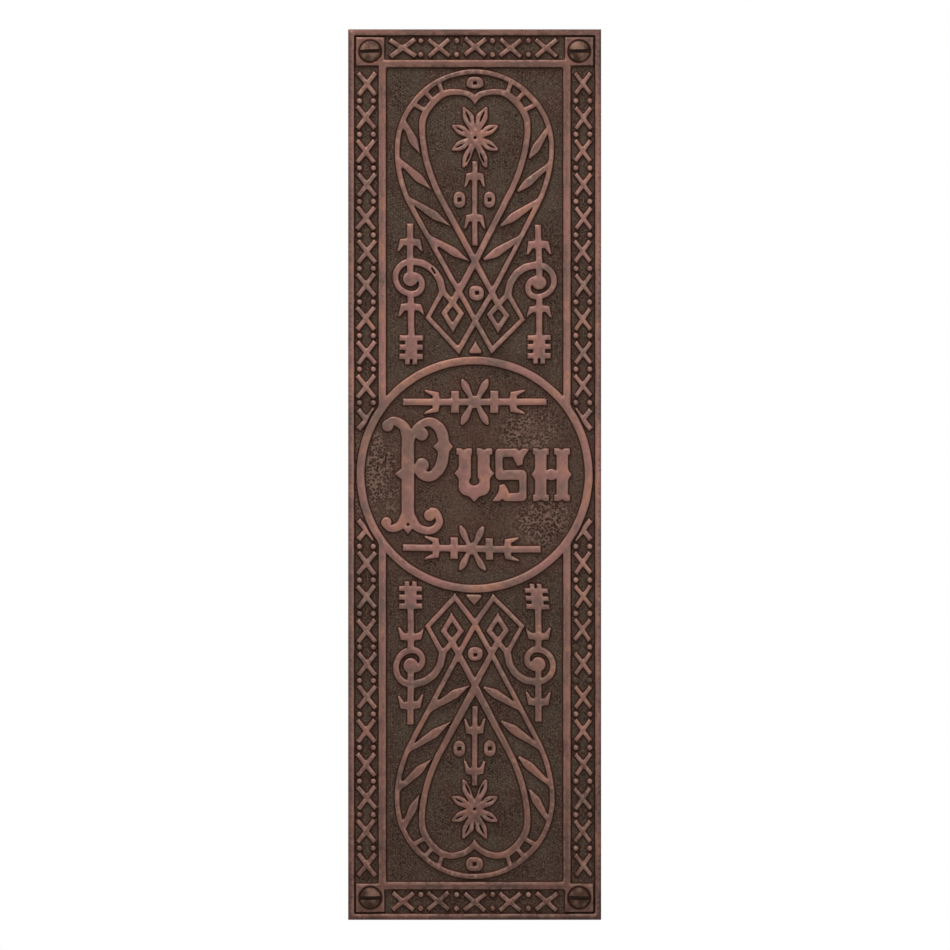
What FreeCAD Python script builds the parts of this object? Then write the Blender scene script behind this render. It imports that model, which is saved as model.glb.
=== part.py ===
"""Door finger plate: one casting with raised ornament and its four slotted wood screws, in millimetres.

X is the width, Z the height and Y the depth. The back of the casting lies on Y = 0 and the face looks
to -Y, so the screws run into the door along +Y. The origin is the middle of the back.
"""
import FreeCAD, Part
import Sketcher
import math
import os

Vector = FreeCAD.Vector

# Every size that drives the part; the remark says what it measures.
SIZES = [
    # the casting
    ("plate_width", 76.2, "across the face"),
    ("plate_height", 268.2, "up the face"),
    ("ground_thickness", 2.1, "back to sunk ground"),
    ("relief_height", 1.1, "ground to top of the ornament"),
    ("edge_chamfer", 0.35, "on the front outer edge"),
    # rim, border channel and inner frame
    ("rim_width", 1.8, "outer rim"),
    ("channel_width", 7.4, "sunk border between rim and frame"),
    ("frame_width", 2.2, "inner frame"),
    ("pad_size", 8.5, "square corner pad"),
    ("pad_gap", 0.6, "corner pad to rim"),
    # centre ring
    ("ring_gap", 0.75, "ring to rim"),
    ("ring_width", 2.35, "ring band"),
    # border of crosses and pellets
    ("cross_pitch", 10.1, "along the border"),
    ("cross_start", 5.6, "corner pad to the middle of the first cross"),
    ("cross_length", 7.0, "along the border"),
    ("cross_breadth", 5.8, "across the border"),
    ("cross_bar", 1.5, "bar of a cross"),
    ("cross_ring_gap", 0.6, "ring to a cross cut short by it"),
    ("pellet_diameter", 1.8, "pellet"),
    ("pellet_height", 1.0, "pellet over the ground"),
    ("pellet_sides", 6, "sides of a pellet"),
    ("pellet_spread", 4.2, "between the two pellets of a pair"),
    # arch
    ("arch_side_gap", 2.6, "frame to arch at the side"),
    ("arch_top_gap", 0.8, "frame to arch at the top"),
    ("arch_band", 1.5, "width of the arch band"),
    ("arch_flank_radius", 36.0, "round of the arch below its shoulder"),
    ("arch_cross_rise", 11.2, "ring to the crossing of the two arch ends"),
    ("arch_foot_rise", 2.1, "ring to the lower end of the arch bands"),
    # heart inside the arch
    ("heart_drop", 4.5, "arch to heart at the top"),
    ("heart_inset", 5.7, "arch to heart at the side"),
    ("heart_band", 1.8, "width of the heart band"),
    ("heart_flank_radius", 47.0, "round of the heart below its shoulder"),
    ("heart_cross_rise", 29.2, "ring to the crossing of the two heart ends"),
    ("cusp_drop", 3.3, "top of a lobe to the cusp between them"),
    ("rung_first_angle", 18.0, "first rung from the vertical, in degrees"),
    ("rung_step_angle", 23.0, "between rungs, in degrees"),
    ("rung_width", 1.3, "rung between heart and arch"),
    ("rung_count", 3, "rungs on each side"),
    # leaves between arch and heart
    ("left_leaf_drop", 15.1, "top of the arch to the first leaf on the left"),
    ("left_leaf_pitch", 11.7, "between leaves on the left"),
    ("right_leaf_drop", 17.4, "top of the arch to the first leaf on the right"),
    ("right_leaf_pitch", 10.8, "between leaves on the right"),
    ("leaf_fall", 10.2, "root to tip of the first leaf, downwards"),
    ("leaf_fall_step", 0.9, "less fall for each next leaf"),
    ("leaf_gap", 0.7, "leaf tip to heart"),
    ("leaf_neck", 1.2, "width of a leaf at its root"),
    ("leaf_width", 2.6, "width of a leaf where it is widest"),
    ("leaf_belly", 0.64, "share of a leaf from its root to where it is widest"),
    # flower
    ("flower_drop", 4.9, "middle of the lobes to the middle of the flower"),
    ("flower_half_width", 7.7, "reach of the petals sideways"),
    ("flower_half_height", 10.2, "reach of the petals upwards"),
    ("petal_count", 8, "petals of a flower"),
    ("petal_width", 3.1, "petal where it is widest"),
    ("petal_neck", 1.5, "petal at the middle of the flower"),
    # staff under the flower
    ("staff_width", 1.6, "upright staff"),
    ("staff_start", 6.8, "middle of the flower to the top of the staff"),
    ("staff_foot_rise", 4.7, "crossing of the heart to the foot of the staff"),
    ("staff_barb_drop", 3.4, "top of the staff to the upper barb"),
    ("staff_barb_pitch", 12.1, "between the barbs of the staff"),
    ("staff_barb_span", 3.2, "staff to the tip of a barb, sideways"),
    ("staff_barb_fall", 4.3, "top to tip of a barb, downwards"),
    ("staff_barb_pairs", 2, "pairs of barbs on the staff"),
    ("barb_thickness", 2.3, "barb at its root"),
    ("barb_shoulder", 0.8, "share of its span from the staff to the shoulder of a barb"),
    ("barb_slope", 0.1, "share of its fall from the root to the shoulder of a barb"),
    ("barb_throat", 0.5, "share of its span from the staff to the throat under a barb"),
    ("barb_tip", 0.6, "blunt tip of a barb, across"),
    # eyelets: rounded blocks with a hole
    ("eyelet_hole", 1.2, "hole of an eyelet, across"),
    ("eyelet_corner", 1.1, "corner cut of an eyelet"),
    ("side_eyelet_width", 3.3, "eyelets beside the staff"),
    ("side_eyelet_height", 5.0, "eyelets beside the staff"),
    ("side_eyelet_offset", 4.6, "middle of the plate to those eyelets"),
    ("side_eyelet_drop", 11.5, "top of the staff to those eyelets"),
    ("top_eyelet_width", 4.9, "eyelet under the top of the arch"),
    ("top_eyelet_height", 4.1, "eyelet under the top of the arch"),
    ("top_eyelet_drop", 2.9, "arch to the middle of that eyelet"),
    ("lattice_eyelet_width", 4.2, "eyelet between the two crossings"),
    ("lattice_eyelet_height", 4.6, "eyelet between the two crossings"),
    ("lattice_eyelet_rise", 8.3, "lower crossing to the middle of that eyelet"),
    # lattice under the crossings
    ("lattice_bar", 1.5, "bars of the lattice"),
    ("lattice_reach", 14.5, "middle of the plate to the outer corner of the lattice"),
    ("lattice_corner_rise", 12.0, "ring to the outer corner of the lattice"),
    ("diamond_rise", 16.6, "ring to the top of the small diamond"),
    ("diamond_half_width", 2.6, "small diamond"),
    ("diamond_upper", 3.3, "small diamond, shoulders to top"),
    ("diamond_lower", 4.3, "small diamond, shoulders to foot"),
    ("spike_half_width", 2.3, "small triangle over the ring"),
    ("spike_rise", 1.1, "ring to the base of the triangle"),
    ("spike_height", 3.7, "small triangle"),
    # key in each corner of the panel
    ("key_inset", 7.35, "frame to the axis of the key"),
    ("key_drop", 2.3, "top of the ring down to the feet of the key"),
    ("key_height", 42.2, "feet to the top of the key"),
    ("key_stem", 1.9, "stem of the key"),
    ("key_barb_span", 3.8, "axis to the tip of a barb, sideways"),
    ("key_barb_fall", 4.0, "top to tip of a barb, downwards"),
    ("upper_barb_rise", 37.9, "feet of the key to the upper barb"),
    ("lower_barb_rise", 18.5, "feet of the key to the lower barb"),
    ("bit_width", 7.0, "bit of the key"),
    ("bit_core", 3.6, "bit between its teeth"),
    ("bit_height", 7.2, "bit of the key"),
    ("bit_teeth", 3, "teeth on each side of the bit"),
    ("tooth_share", 0.58, "share of the pitch that a tooth takes"),
    ("foot_height", 1.6, "two feet under the bit"),
    ("foot_width", 1.4, "two feet under the bit"),
    ("scroll_rise", 26.0, "feet of the key to the middle of its scroll"),
    ("scroll_shift", 0.4, "axis of the key to the middle of its scroll, towards the middle of the plate"),
    ("scroll_radius", 4.9, "outer turn of the scroll"),
    ("scroll_inner_radius", 3.1, "inner turn of the scroll where it starts"),
    ("scroll_end_radius", 2.6, "inner turn of the scroll where it ends"),
    ("scroll_band", 1.75, "band of the scroll"),
    ("scroll_bead", 2.2, "radius of the bead in the scroll"),
    ("bead_rise", 4.5, "lower turn of the scroll to the middle of the bead"),
    ("scroll_facet", 25.7, "turn from facet to facet of the scroll, in degrees"),
    ("arm_run", 0.9, "straight start of the arm from the key"),
    ("arm_radius", 8.6, "round of the arm from the key to the lattice"),
    ("arm_band", 2.1, "band of the arm"),
    # arrow inside the ring
    ("arrow_inset", 11.3, "ring to the axis of the arrow"),
    ("arrow_end_gap", 2.4, "ring to the end of the arrow"),
    ("arrow_staff", 2.0, "staff of the arrow"),
    ("arrow_barb_offset", 10.4, "middle to the root of the barbs"),
    ("arrow_barb_span", 3.7, "axis to the tip of a barb"),
    ("arrow_barb_fall", 4.6, "root to tip of a barb, along the arrow"),
    ("arrow_bar_offset", 5.9, "middle to the crossbar"),
    ("arrow_bar_width", 2.4, "crossbar along the arrow"),
    ("arrow_bar_half", 3.3, "axis to the end of the crossbar"),
    ("arrow_block", 3.2, "block in the middle"),
    ("horn_reach", 4.3, "middle to the tip of a horn, sideways"),
    ("horn_height", 7.5, "axis to the tip of a horn"),
    ("horn_width", 2.4, "horn where it is widest"),
    # screws and their holes
    ("head_diameter", 6.8, "screw head"),
    ("head_rise", 0.8, "crown of the oval head"),
    ("head_sink", 0.1, "rim of the head under the pad"),
    ("head_angle", 82.0, "countersink, in degrees"),
    ("seat_clearance", 0.04, "head to countersink"),
    ("neck_diameter", 3.0, "plain neck under the head"),
    ("neck_reach", 0.3, "neck past the back of the plate"),
    ("thread_diameter", 3.5, "over the thread"),
    ("thread_reach", 12.7, "thread past the back of the plate"),
    ("point_reach", 16.0, "point past the back of the plate"),
    ("hole_diameter", 4.0, "clearance hole"),
    ("slot_width", 0.95, "screwdriver slot"),
    ("slot_depth", 0.75, "screwdriver slot, from the crown"),
]

doc = FreeCAD.newDocument("door_finger_plate")
sheet = doc.addObject("Spreadsheet::Sheet", "dimensions")
for row, (name, value, remark) in enumerate(SIZES, start=1):
    sheet.set(f"A{row}", remark)
    sheet.set(f"B{row}", str(value))
    sheet.setAlias(f"B{row}", name)
doc.recompute()


def size(name):
    """One size from the sheet."""
    return float(sheet.get(name))


def checked(item):
    """Recompute, then stop if the feature failed or its shape is not sound."""
    doc.recompute()
    if "Invalid" in item.State or "Error" in item.State:
        raise RuntimeError(f"{item.Label}: {item.State}")
    if not item.Shape.isValid():
        raise RuntimeError(f"{item.Label}: shape is not valid")
    return item


# Lines of the layout that several features share.
half_width = size("plate_width") / 2
half_height = size("plate_height") / 2
border = size("rim_width") + size("channel_width") + size("frame_width")
panel_half = half_width - border
panel_top = half_height - border
ring_outer = half_width - size("rim_width") - size("ring_gap")
ring_inner = ring_outer - size("ring_width")
pad_reach = size("rim_width") + size("pad_gap")

# The same lines as expressions for the sketches.
FRAME_OUTSIDE = "2 * (dimensions.rim_width + dimensions.channel_width)"
FRAME_INSIDE = "2 * (dimensions.rim_width + dimensions.channel_width + dimensions.frame_width)"
RING_OUTER = "dimensions.plate_width / 2 - dimensions.rim_width - dimensions.ring_gap"
PAD_MIDDLE = "(dimensions.rim_width + dimensions.pad_gap + dimensions.pad_size / 2)"
SCREW_X = f"dimensions.plate_width / 2 - {PAD_MIDDLE}"
SCREW_Z = f"dimensions.plate_height / 2 - {PAD_MIDDLE}"
FACE = "dimensions.ground_thickness + dimensions.relief_height"


def plane(body, role):
    """The body's own datum plane of that name."""
    return next(item for item in body.Origin.OriginFeatures if item.Role == role)


def new_sketch(body, name, role, offset):
    """A sketch on a datum plane, moved by the expressions in offset."""
    sketch = body.newObject("Sketcher::SketchObject", name)
    sketch.AttachmentSupport = (plane(body, role), [""])
    sketch.MapMode = "FlatFace"
    for axis, expression in offset.items():
        sketch.setExpression(f"AttachmentOffset.Base.{axis}", expression)
    return sketch


def bind(sketch, constraint, expression):
    """Add a constraint whose value follows the sheet."""
    index = sketch.addConstraint(constraint)
    sketch.setExpression(f"Constraints[{index}]", expression)


def add_rectangle(sketch, width, height):
    """A rectangle around the sketch origin."""
    first = sketch.GeometryCount
    corners = [Vector(-1, -1), Vector(1, -1), Vector(1, 1), Vector(-1, 1)]
    for start, end in zip(corners, corners[1:] + corners[:1]):
        sketch.addGeometry(Part.LineSegment(start, end), False)
    lines = range(first, first + len(corners))
    for line in lines:
        following = first + (line - first + 1) % len(corners)
        sketch.addConstraint(Sketcher.Constraint("Coincident", line, 2, following, 1))
        direction = "Vertical" if (line - first) % 2 else "Horizontal"
        sketch.addConstraint(Sketcher.Constraint(direction, line))
    sketch.addConstraint(Sketcher.Constraint("Symmetric", first, 1, first + 2, 1, -1, 1))
    bind(sketch, Sketcher.Constraint("DistanceX", first, 1, first, 2, 2), width)
    bind(sketch, Sketcher.Constraint("DistanceY", first + 1, 1, first + 1, 2, 2), height)


def add_circle(sketch, radius):
    """A circle around the sketch origin."""
    index = sketch.addGeometry(Part.Circle(Vector(), Vector(0, 0, 1), 1), False)
    sketch.addConstraint(Sketcher.Constraint("Coincident", index, 3, -1, 1))
    bind(sketch, Sketcher.Constraint("Radius", index, 1), radius)


def pad(body, name, sketch, length):
    feature = body.newObject("PartDesign::Pad", name)
    feature.Profile = sketch
    feature.setExpression("Length", length)
    return checked(feature)


def mirror_to_corners(body, name, features):
    """Repeat features from one corner of the plate in the other three."""
    corners = body.newObject("PartDesign::MultiTransform", name)
    corners.Originals = features
    steps = []
    for role in ("YZ_Plane", "XY_Plane"):
        step = body.newObject("PartDesign::Mirrored", f"{name}_{role}")
        step.MirrorPlane = (plane(body, role), [""])
        steps.append(step)
    corners.Transformations = steps
    body.Tip = corners
    return checked(corners)


# The casting without its ornament: blank, rim, inner frame, centre ring and corner pads.
blank = doc.addObject("PartDesign::Body", "plate_blank")
blank_outline = new_sketch(blank, "blank_outline", "XZ_Plane", {})
add_rectangle(blank_outline, "dimensions.plate_width", "dimensions.plate_height")
pad(blank, "ground", blank_outline, "dimensions.ground_thickness")

on_ground = {"z": "dimensions.ground_thickness"}
rim_outline = new_sketch(blank, "rim_outline", "XZ_Plane", on_ground)
add_rectangle(rim_outline, "dimensions.plate_width", "dimensions.plate_height")
add_rectangle(rim_outline, "dimensions.plate_width - 2 * dimensions.rim_width",
              "dimensions.plate_height - 2 * dimensions.rim_width")
rim = pad(blank, "rim", rim_outline, "dimensions.relief_height")

# Chamfer round the front outer edge.
face_depth = size("ground_thickness") + size("relief_height")
rim_edges = []
for number, edge in enumerate(rim.Shape.Edges, start=1):
    middle = edge.CenterOfMass
    on_side = math.isclose(abs(middle.x), half_width) or math.isclose(abs(middle.z), half_height)
    if on_side and math.isclose(middle.y, -face_depth):
        rim_edges.append(f"Edge{number}")
chamfer = blank.newObject("PartDesign::Chamfer", "rim_chamfer")
chamfer.Base = (rim, rim_edges)
chamfer.setExpression("Size", "dimensions.edge_chamfer")
checked(chamfer)

frame_outline = new_sketch(blank, "frame_outline", "XZ_Plane", on_ground)
for inset in (FRAME_OUTSIDE, FRAME_INSIDE):
    add_rectangle(frame_outline, f"dimensions.plate_width - {inset}", f"dimensions.plate_height - {inset}")
pad(blank, "inner_frame", frame_outline, "dimensions.relief_height")

# The round field breaks the inner frame, then the ring stands around it.
field_outline = new_sketch(blank, "field_outline", "XZ_Plane", {"z": FACE})
add_circle(field_outline, RING_OUTER)
field = blank.newObject("PartDesign::Pocket", "round_field")
field.Profile = field_outline
field.setExpression("Length", "dimensions.relief_height")
checked(field)

ring_outline = new_sketch(blank, "ring_outline", "XZ_Plane", on_ground)
add_circle(ring_outline, RING_OUTER)
add_circle(ring_outline, f"{RING_OUTER} - dimensions.ring_width")
pad(blank, "centre_ring", ring_outline, "dimensions.relief_height")

at_corner = {"x": SCREW_X, "y": SCREW_Z, "z": "dimensions.ground_thickness"}
pad_outline = new_sketch(blank, "pad_outline", "XZ_Plane", at_corner)
add_rectangle(pad_outline, "dimensions.pad_size", "dimensions.pad_size")
corner_pad = pad(blank, "corner_pad", pad_outline, "dimensions.relief_height")
mirror_to_corners(blank, "corner_pads", [corner_pad])


# One countersunk hole through a corner pad, then the other three.
HEAD_SLOPE = "tan(dimensions.head_angle / 2 * 1deg)"
MOUTH = f"dimensions.head_diameter / 2 + dimensions.seat_clearance + dimensions.head_sink * {HEAD_SLOPE}"
hole_place = new_sketch(blank, "hole_place", "XZ_Plane", {"x": SCREW_X, "y": SCREW_Z, "z": FACE})
add_circle(hole_place, "dimensions.hole_diameter / 2")
hole = blank.newObject("PartDesign::Hole", "screw_hole")
hole.Profile = hole_place
doc.recompute()
hole.ThreadType = "None"
hole.DepthType = "ThroughAll"
hole.setExpression("Diameter", "dimensions.hole_diameter")
hole.HoleCutType = "Countersink"
hole.setExpression("HoleCutDiameter", f"2 * ({MOUTH})")
hole.setExpression("HoleCutCountersinkAngle", "dimensions.head_angle")
checked(hole)
mirror_to_corners(blank, "screw_holes", [hole])


# Flat drawing of the ornament: outlines on the sunk ground.
def place(across, up):
    return Vector(across, -size("ground_thickness"), up)


def outline(corners):
    """A flat face with straight sides; corners are pairs (across, up)."""
    ring = [place(*corner) for corner in corners]
    return Part.Face(Part.makePolygon(ring + ring[:1]))


def rectangle(left, right, low, high):
    return outline([(left, low), (right, low), (right, high), (left, high)])


def disc(across, up, radius):
    circle = Part.Circle(place(across, up), Vector(0, 1, 0), radius)
    return Part.Face(Part.Wire(circle.toShape()))


def regular(across, up, radius, sides):
    """A flat face with equal sides."""
    corners = []
    for step in range(sides):
        angle = math.tau * step / sides
        corners.append((across + radius * math.cos(angle), up + radius * math.sin(angle)))
    return outline(corners)


def beside(line, offset, closed=False):
    """A line of straight runs moved sideways, to the left of its way, with mitred corners."""
    count = len(line)
    runs = []
    for step in range(count if closed else count - 1):
        start = line[step]
        end = line[(step + 1) % count]
        length = math.dist(start, end)
        runs.append(((start[1] - end[1]) / length, (end[0] - start[0]) / length))
    moved = []
    for step, spot in enumerate(line):
        before = runs[step - 1] if closed or step else runs[0]
        after = runs[step] if step < len(runs) else runs[-1]
        stretch = offset / (1 + before[0] * after[0] + before[1] * after[1])
        moved.append((spot[0] + stretch * (before[0] + after[0]), spot[1] + stretch * (before[1] + after[1])))
    return moved


def strip(line, width):
    """A band of even width along straight runs."""
    return outline(beside(line, width / 2) + beside(line, -width / 2)[::-1])


def closed_strip(line, width):
    """A band of even width around a closed outline."""
    sides = [outline(beside(line, offset, closed=True)) for offset in (-width / 2, width / 2)]
    outer, inner = sorted(sides, key=lambda side: -side.Area)
    return outer.cut(inner)


def faceted(start, heading, steps, facet):
    """Points along arcs given as (radius, turn) in degrees, one for each facet."""
    line = [start]
    facing = math.radians(heading)
    for radius, turn in steps:
        count = max(round(abs(turn) / facet), 1)
        swing = math.radians(turn) / count
        chord = 2 * radius * math.sin(abs(swing) / 2)
        for step in range(count):
            facing += swing / 2
            line.append((line[-1][0] + chord * math.cos(facing), line[-1][1] + chord * math.sin(facing)))
            facing += swing / 2
    return line


def ribbon(start, heading, steps, width):
    """A band of even width: steps are (length, 0) for straight runs and (radius, turn) for arcs, in degrees."""
    edges = []
    ends = []
    for offset in (width / 2, -width / 2):
        spot = start
        facing = math.radians(heading)
        chain = []
        for reach, turn in steps:
            swing = math.radians(turn)
            stations = []
            for share in (0, 0.5, 1):
                stations.append(step_along(spot, facing, reach, swing * share, share, offset))
            if turn:
                chain.append(Part.Arc(*[place(*station[0]) for station in stations]).toShape())
            else:
                chain.append(Part.LineSegment(place(*stations[0][0]), place(*stations[2][0])).toShape())
            spot = stations[2][1]
            facing += swing
        edges += chain
        ends.append((chain[0].valueAt(chain[0].FirstParameter), chain[-1].valueAt(chain[-1].LastParameter)))
    for first, second in zip(*ends):
        edges.append(Part.LineSegment(first, second).toShape())
    return Part.Face(Part.Wire(Part.__sortEdges__(edges)))


def step_along(spot, facing, reach, swing, share, offset):
    """The point on one side of a band, and on its middle line, part of the way along a step."""
    if swing or not share:
        side = math.copysign(1, swing)
        centre = (spot[0] - side * reach * math.sin(facing), spot[1] + side * reach * math.cos(facing))
        ahead = facing + swing
        middle = (centre[0] + side * reach * math.sin(ahead), centre[1] - side * reach * math.cos(ahead))
    else:
        ahead = facing
        middle = (spot[0] + reach * share * math.cos(facing), spot[1] + reach * share * math.sin(facing))
    edge = (middle[0] - offset * math.sin(ahead), middle[1] + offset * math.cos(ahead))
    return edge, middle


def mirrored(face):
    """The same face on the other side of the middle line."""
    return face.mirror(Vector(), Vector(1, 0, 0))


def joined(faces):
    """One flat shape from faces that overlap."""
    pieces = faces[0].multiFuse(faces[1:])
    return Part.makeShell(pieces.Faces).removeSplitter()


class Flank:
    """Middle line of a band that falls from its shoulder in an arc, then runs straight to the crossing.

    The arc has its own radius, as far as the room under the shoulder leaves a straight run of least_run.
    """

    def __init__(self, reach, shoulder, radius, crossing, least_run):
        self.reach = reach
        self.shoulder = shoulder
        self.crossing = crossing
        fall = shoulder - crossing
        self.radius = min(radius, (reach ** 2 + fall ** 2 - least_run ** 2) / (2 * reach))
        back = self.radius - reach
        self.lean = math.atan2(fall, back) - math.acos(self.radius / math.hypot(back, fall))
        self.arc_end = shoulder - self.radius * math.sin(self.lean)
        self.straight = (self.arc_end - crossing) / math.cos(self.lean)

    def across(self, up):
        """Distance from the middle of the plate at a height."""
        if up < self.arc_end:
            return (up - self.crossing) * math.tan(self.lean)
        return self.reach - self.radius + math.sqrt(self.radius ** 2 - (self.shoulder - up) ** 2)

    def below(self, fall):
        """Distance from the middle of the plate under the crossing, where the band has changed sides."""
        return fall * math.tan(self.lean)


# Arch and heart.
arch_radius = panel_half - size("arch_side_gap") - size("arch_band") / 2
arch_top = panel_top - size("arch_top_gap")
arch_shoulder = arch_top - size("arch_band") / 2 - arch_radius
arch_crossing = ring_outer + size("arch_cross_rise")
arch = Flank(arch_radius, arch_shoulder, size("arch_flank_radius"), arch_crossing, size("arch_band"))
arch_fall = size("arch_cross_rise") - size("arch_foot_rise")
arch_foot = (arch.below(arch_fall), arch_crossing - arch_fall)
arch_lean = math.degrees(arch.lean)
arch_steps = [(arch.straight, 0), (arch.radius, arch_lean), (arch_radius, 90)]
relief = [ribbon((0, arch_crossing), 90 - arch_lean, arch_steps, size("arch_band"))]
relief.append(mirrored(relief[0]))

heart_reach = arch_radius - size("arch_band") / 2 - size("heart_inset") - size("heart_band") / 2
heart_top = arch_top - size("arch_band") - size("heart_drop") - size("heart_band") / 2
lobe_radius = size("cusp_drop") + heart_reach - math.sqrt(2 * size("cusp_drop") * heart_reach)
lobe_across = heart_reach - lobe_radius
lobe_up = heart_top - lobe_radius
heart_crossing = ring_outer + size("heart_cross_rise")
heart = Flank(heart_reach, lobe_up, size("heart_flank_radius"), heart_crossing, size("heart_band"))
heart_lean = math.degrees(heart.lean)
past_cusp = math.degrees(size("heart_band") / lobe_radius)
lobe_turn = math.degrees(math.acos(-lobe_across / lobe_radius)) + past_cusp
heart_steps = [(heart.straight, 0), (heart.radius, heart_lean), (lobe_radius, lobe_turn)]
heart_half = ribbon((0, heart_crossing), 90 - heart_lean, heart_steps, size("heart_band"))
right_half = heart_half.common(rectangle(0, half_width, 0, half_height))
relief += [right_half, mirrored(right_half)]

# Rungs from the lobes of the heart out to the arch.
for rung in range(round(size("rung_count"))):
    angle = math.radians(size("rung_first_angle") + rung * size("rung_step_angle"))
    way = (math.sin(angle), math.cos(angle))
    lobe_from_arch = (lobe_across, lobe_up - arch_shoulder)
    forward = way[0] * lobe_from_arch[0] + way[1] * lobe_from_arch[1]
    aside = way[1] * lobe_from_arch[0] - way[0] * lobe_from_arch[1]
    reach = math.sqrt(arch_radius ** 2 - aside ** 2) - forward
    start = (lobe_across + lobe_radius * way[0], lobe_up + lobe_radius * way[1])
    end = (lobe_across + reach * way[0], lobe_up + reach * way[1])
    relief.append(strip([start, end], size("rung_width")))
    relief.append(mirrored(relief[-1]))


def leaf(root, tip, neck, width):
    """A lance-shaped leaf, widest past the middle of its length."""
    widest = size("leaf_belly")
    run = (tip[0] - root[0], tip[1] - root[1])
    length = math.hypot(*run)
    side = (-run[1] / length, run[0] / length)
    belly = (root[0] + widest * run[0], root[1] + widest * run[1])
    spots = [(root, neck / 2), (belly, width / 2), (tip, 0), (belly, -width / 2), (root, -neck / 2)]
    return outline([(spot[0] + reach * side[0], spot[1] + reach * side[1]) for spot, reach in spots])


def leaves(drop, pitch):
    """The leaves of the right side, from the arch towards the heart."""
    faces = []
    count = int((arch_top - drop - heart_crossing) / pitch) + 1
    for step in range(count):
        root_up = arch_top - drop - step * pitch
        tip_up = max(root_up - size("leaf_fall") + step * size("leaf_fall_step"), heart_crossing)
        if root_up > arch_shoulder:
            root_across = math.sqrt(arch_radius ** 2 - (root_up - arch_shoulder) ** 2)
        else:
            root_across = arch.across(root_up)
        tip_across = heart.across(tip_up) + size("heart_band") / 2 + size("leaf_gap")
        faces.append(leaf((root_across, root_up), (tip_across, tip_up), size("leaf_neck"), size("leaf_width")))
    return faces


relief += leaves(size("right_leaf_drop"), size("right_leaf_pitch"))
relief += [mirrored(face) for face in leaves(size("left_leaf_drop"), size("left_leaf_pitch"))]

# Flower.
flower_up = lobe_up - size("flower_drop")
petals = round(size("petal_count"))
for step in range(petals):
    angle = math.tau * (step + 0.5) / petals
    tip = (size("flower_half_width") * math.sin(angle), flower_up + size("flower_half_height") * math.cos(angle))
    relief.append(leaf((0, flower_up), tip, size("petal_neck"), size("petal_width")))


def barbs(across, up, heading, span, fall, thickness):
    """Two hooked barbs on a staff; heading is the way their tips sweep back, in degrees from downwards."""
    shoulder = (size("barb_shoulder") * span, -size("barb_slope") * fall)
    throat = size("barb_throat") * span
    inner_tip = span - size("barb_tip")
    side = [(0, 0), shoulder, (span, -fall), (inner_tip, -fall), (throat, -thickness), (0, -thickness)]
    turn = math.radians(heading)
    faces = []
    for way in (1, -1):
        corners = []
        for right, rise in side:
            right *= way
            corners.append((across + right * math.cos(turn) - rise * math.sin(turn),
                            up + right * math.sin(turn) + rise * math.cos(turn)))
        faces.append(outline(corners))
    return faces


# Staff under the flower, with two pairs of barbs.
staff_top = flower_up - size("staff_start")
staff_foot = heart_crossing + size("staff_foot_rise")
staff_half = size("staff_width") / 2
relief.append(rectangle(-staff_half, staff_half, staff_foot, staff_top))
for step in range(round(size("staff_barb_pairs"))):
    barb_up = staff_top - size("staff_barb_drop") - step * size("staff_barb_pitch")
    relief += barbs(0, barb_up, 0, size("staff_barb_span"), size("staff_barb_fall"), size("barb_thickness"))


def eyelet(across, up, width, height):
    """A block with cut corners and a square hole."""
    cut = size("eyelet_corner")
    right = width / 2
    top = height / 2
    hole_half = size("eyelet_hole") / 2
    corners = [(right, top - cut), (right - cut, top), (cut - right, top), (-right, top - cut),
               (-right, cut - top), (cut - right, -top), (right - cut, -top), (right, cut - top)]
    block = outline([(across + x, up + z) for x, z in corners])
    return block.cut(rectangle(across - hole_half, across + hole_half, up - hole_half, up + hole_half))


for way in (1, -1):
    relief.append(eyelet(way * size("side_eyelet_offset"), staff_top - size("side_eyelet_drop"),
                         size("side_eyelet_width"), size("side_eyelet_height")))
relief.append(eyelet(0, arch_top - size("arch_band") - size("top_eyelet_drop"),
                     size("top_eyelet_width"), size("top_eyelet_height")))
relief.append(eyelet(0, arch_crossing + size("lattice_eyelet_rise"),
                     size("lattice_eyelet_width"), size("lattice_eyelet_height")))

# Lattice: ends of the heart, small diamond, outer corner and the spike over the ring.
lattice_bar = size("lattice_bar")
diamond_top = ring_outer + size("diamond_rise")
diamond_across = heart.below(heart_crossing - diamond_top)
shoulder_up = diamond_top - size("diamond_upper")
diamond = [(diamond_across, diamond_top), (diamond_across + size("diamond_half_width"), shoulder_up),
           (diamond_across, shoulder_up - size("diamond_lower")),
           (diamond_across - size("diamond_half_width"), shoulder_up)]
corner = (size("lattice_reach"), ring_outer + size("lattice_corner_rise"))
half_panel = [strip([(0, heart_crossing), diamond[0]], size("heart_band")), closed_strip(diamond, lattice_bar)]
spike_base = ring_outer + size("spike_rise")
spike_half = size("spike_half_width")
relief.append(outline([(-spike_half, spike_base), (spike_half, spike_base),
                       (0, spike_base + size("spike_height"))]))

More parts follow.
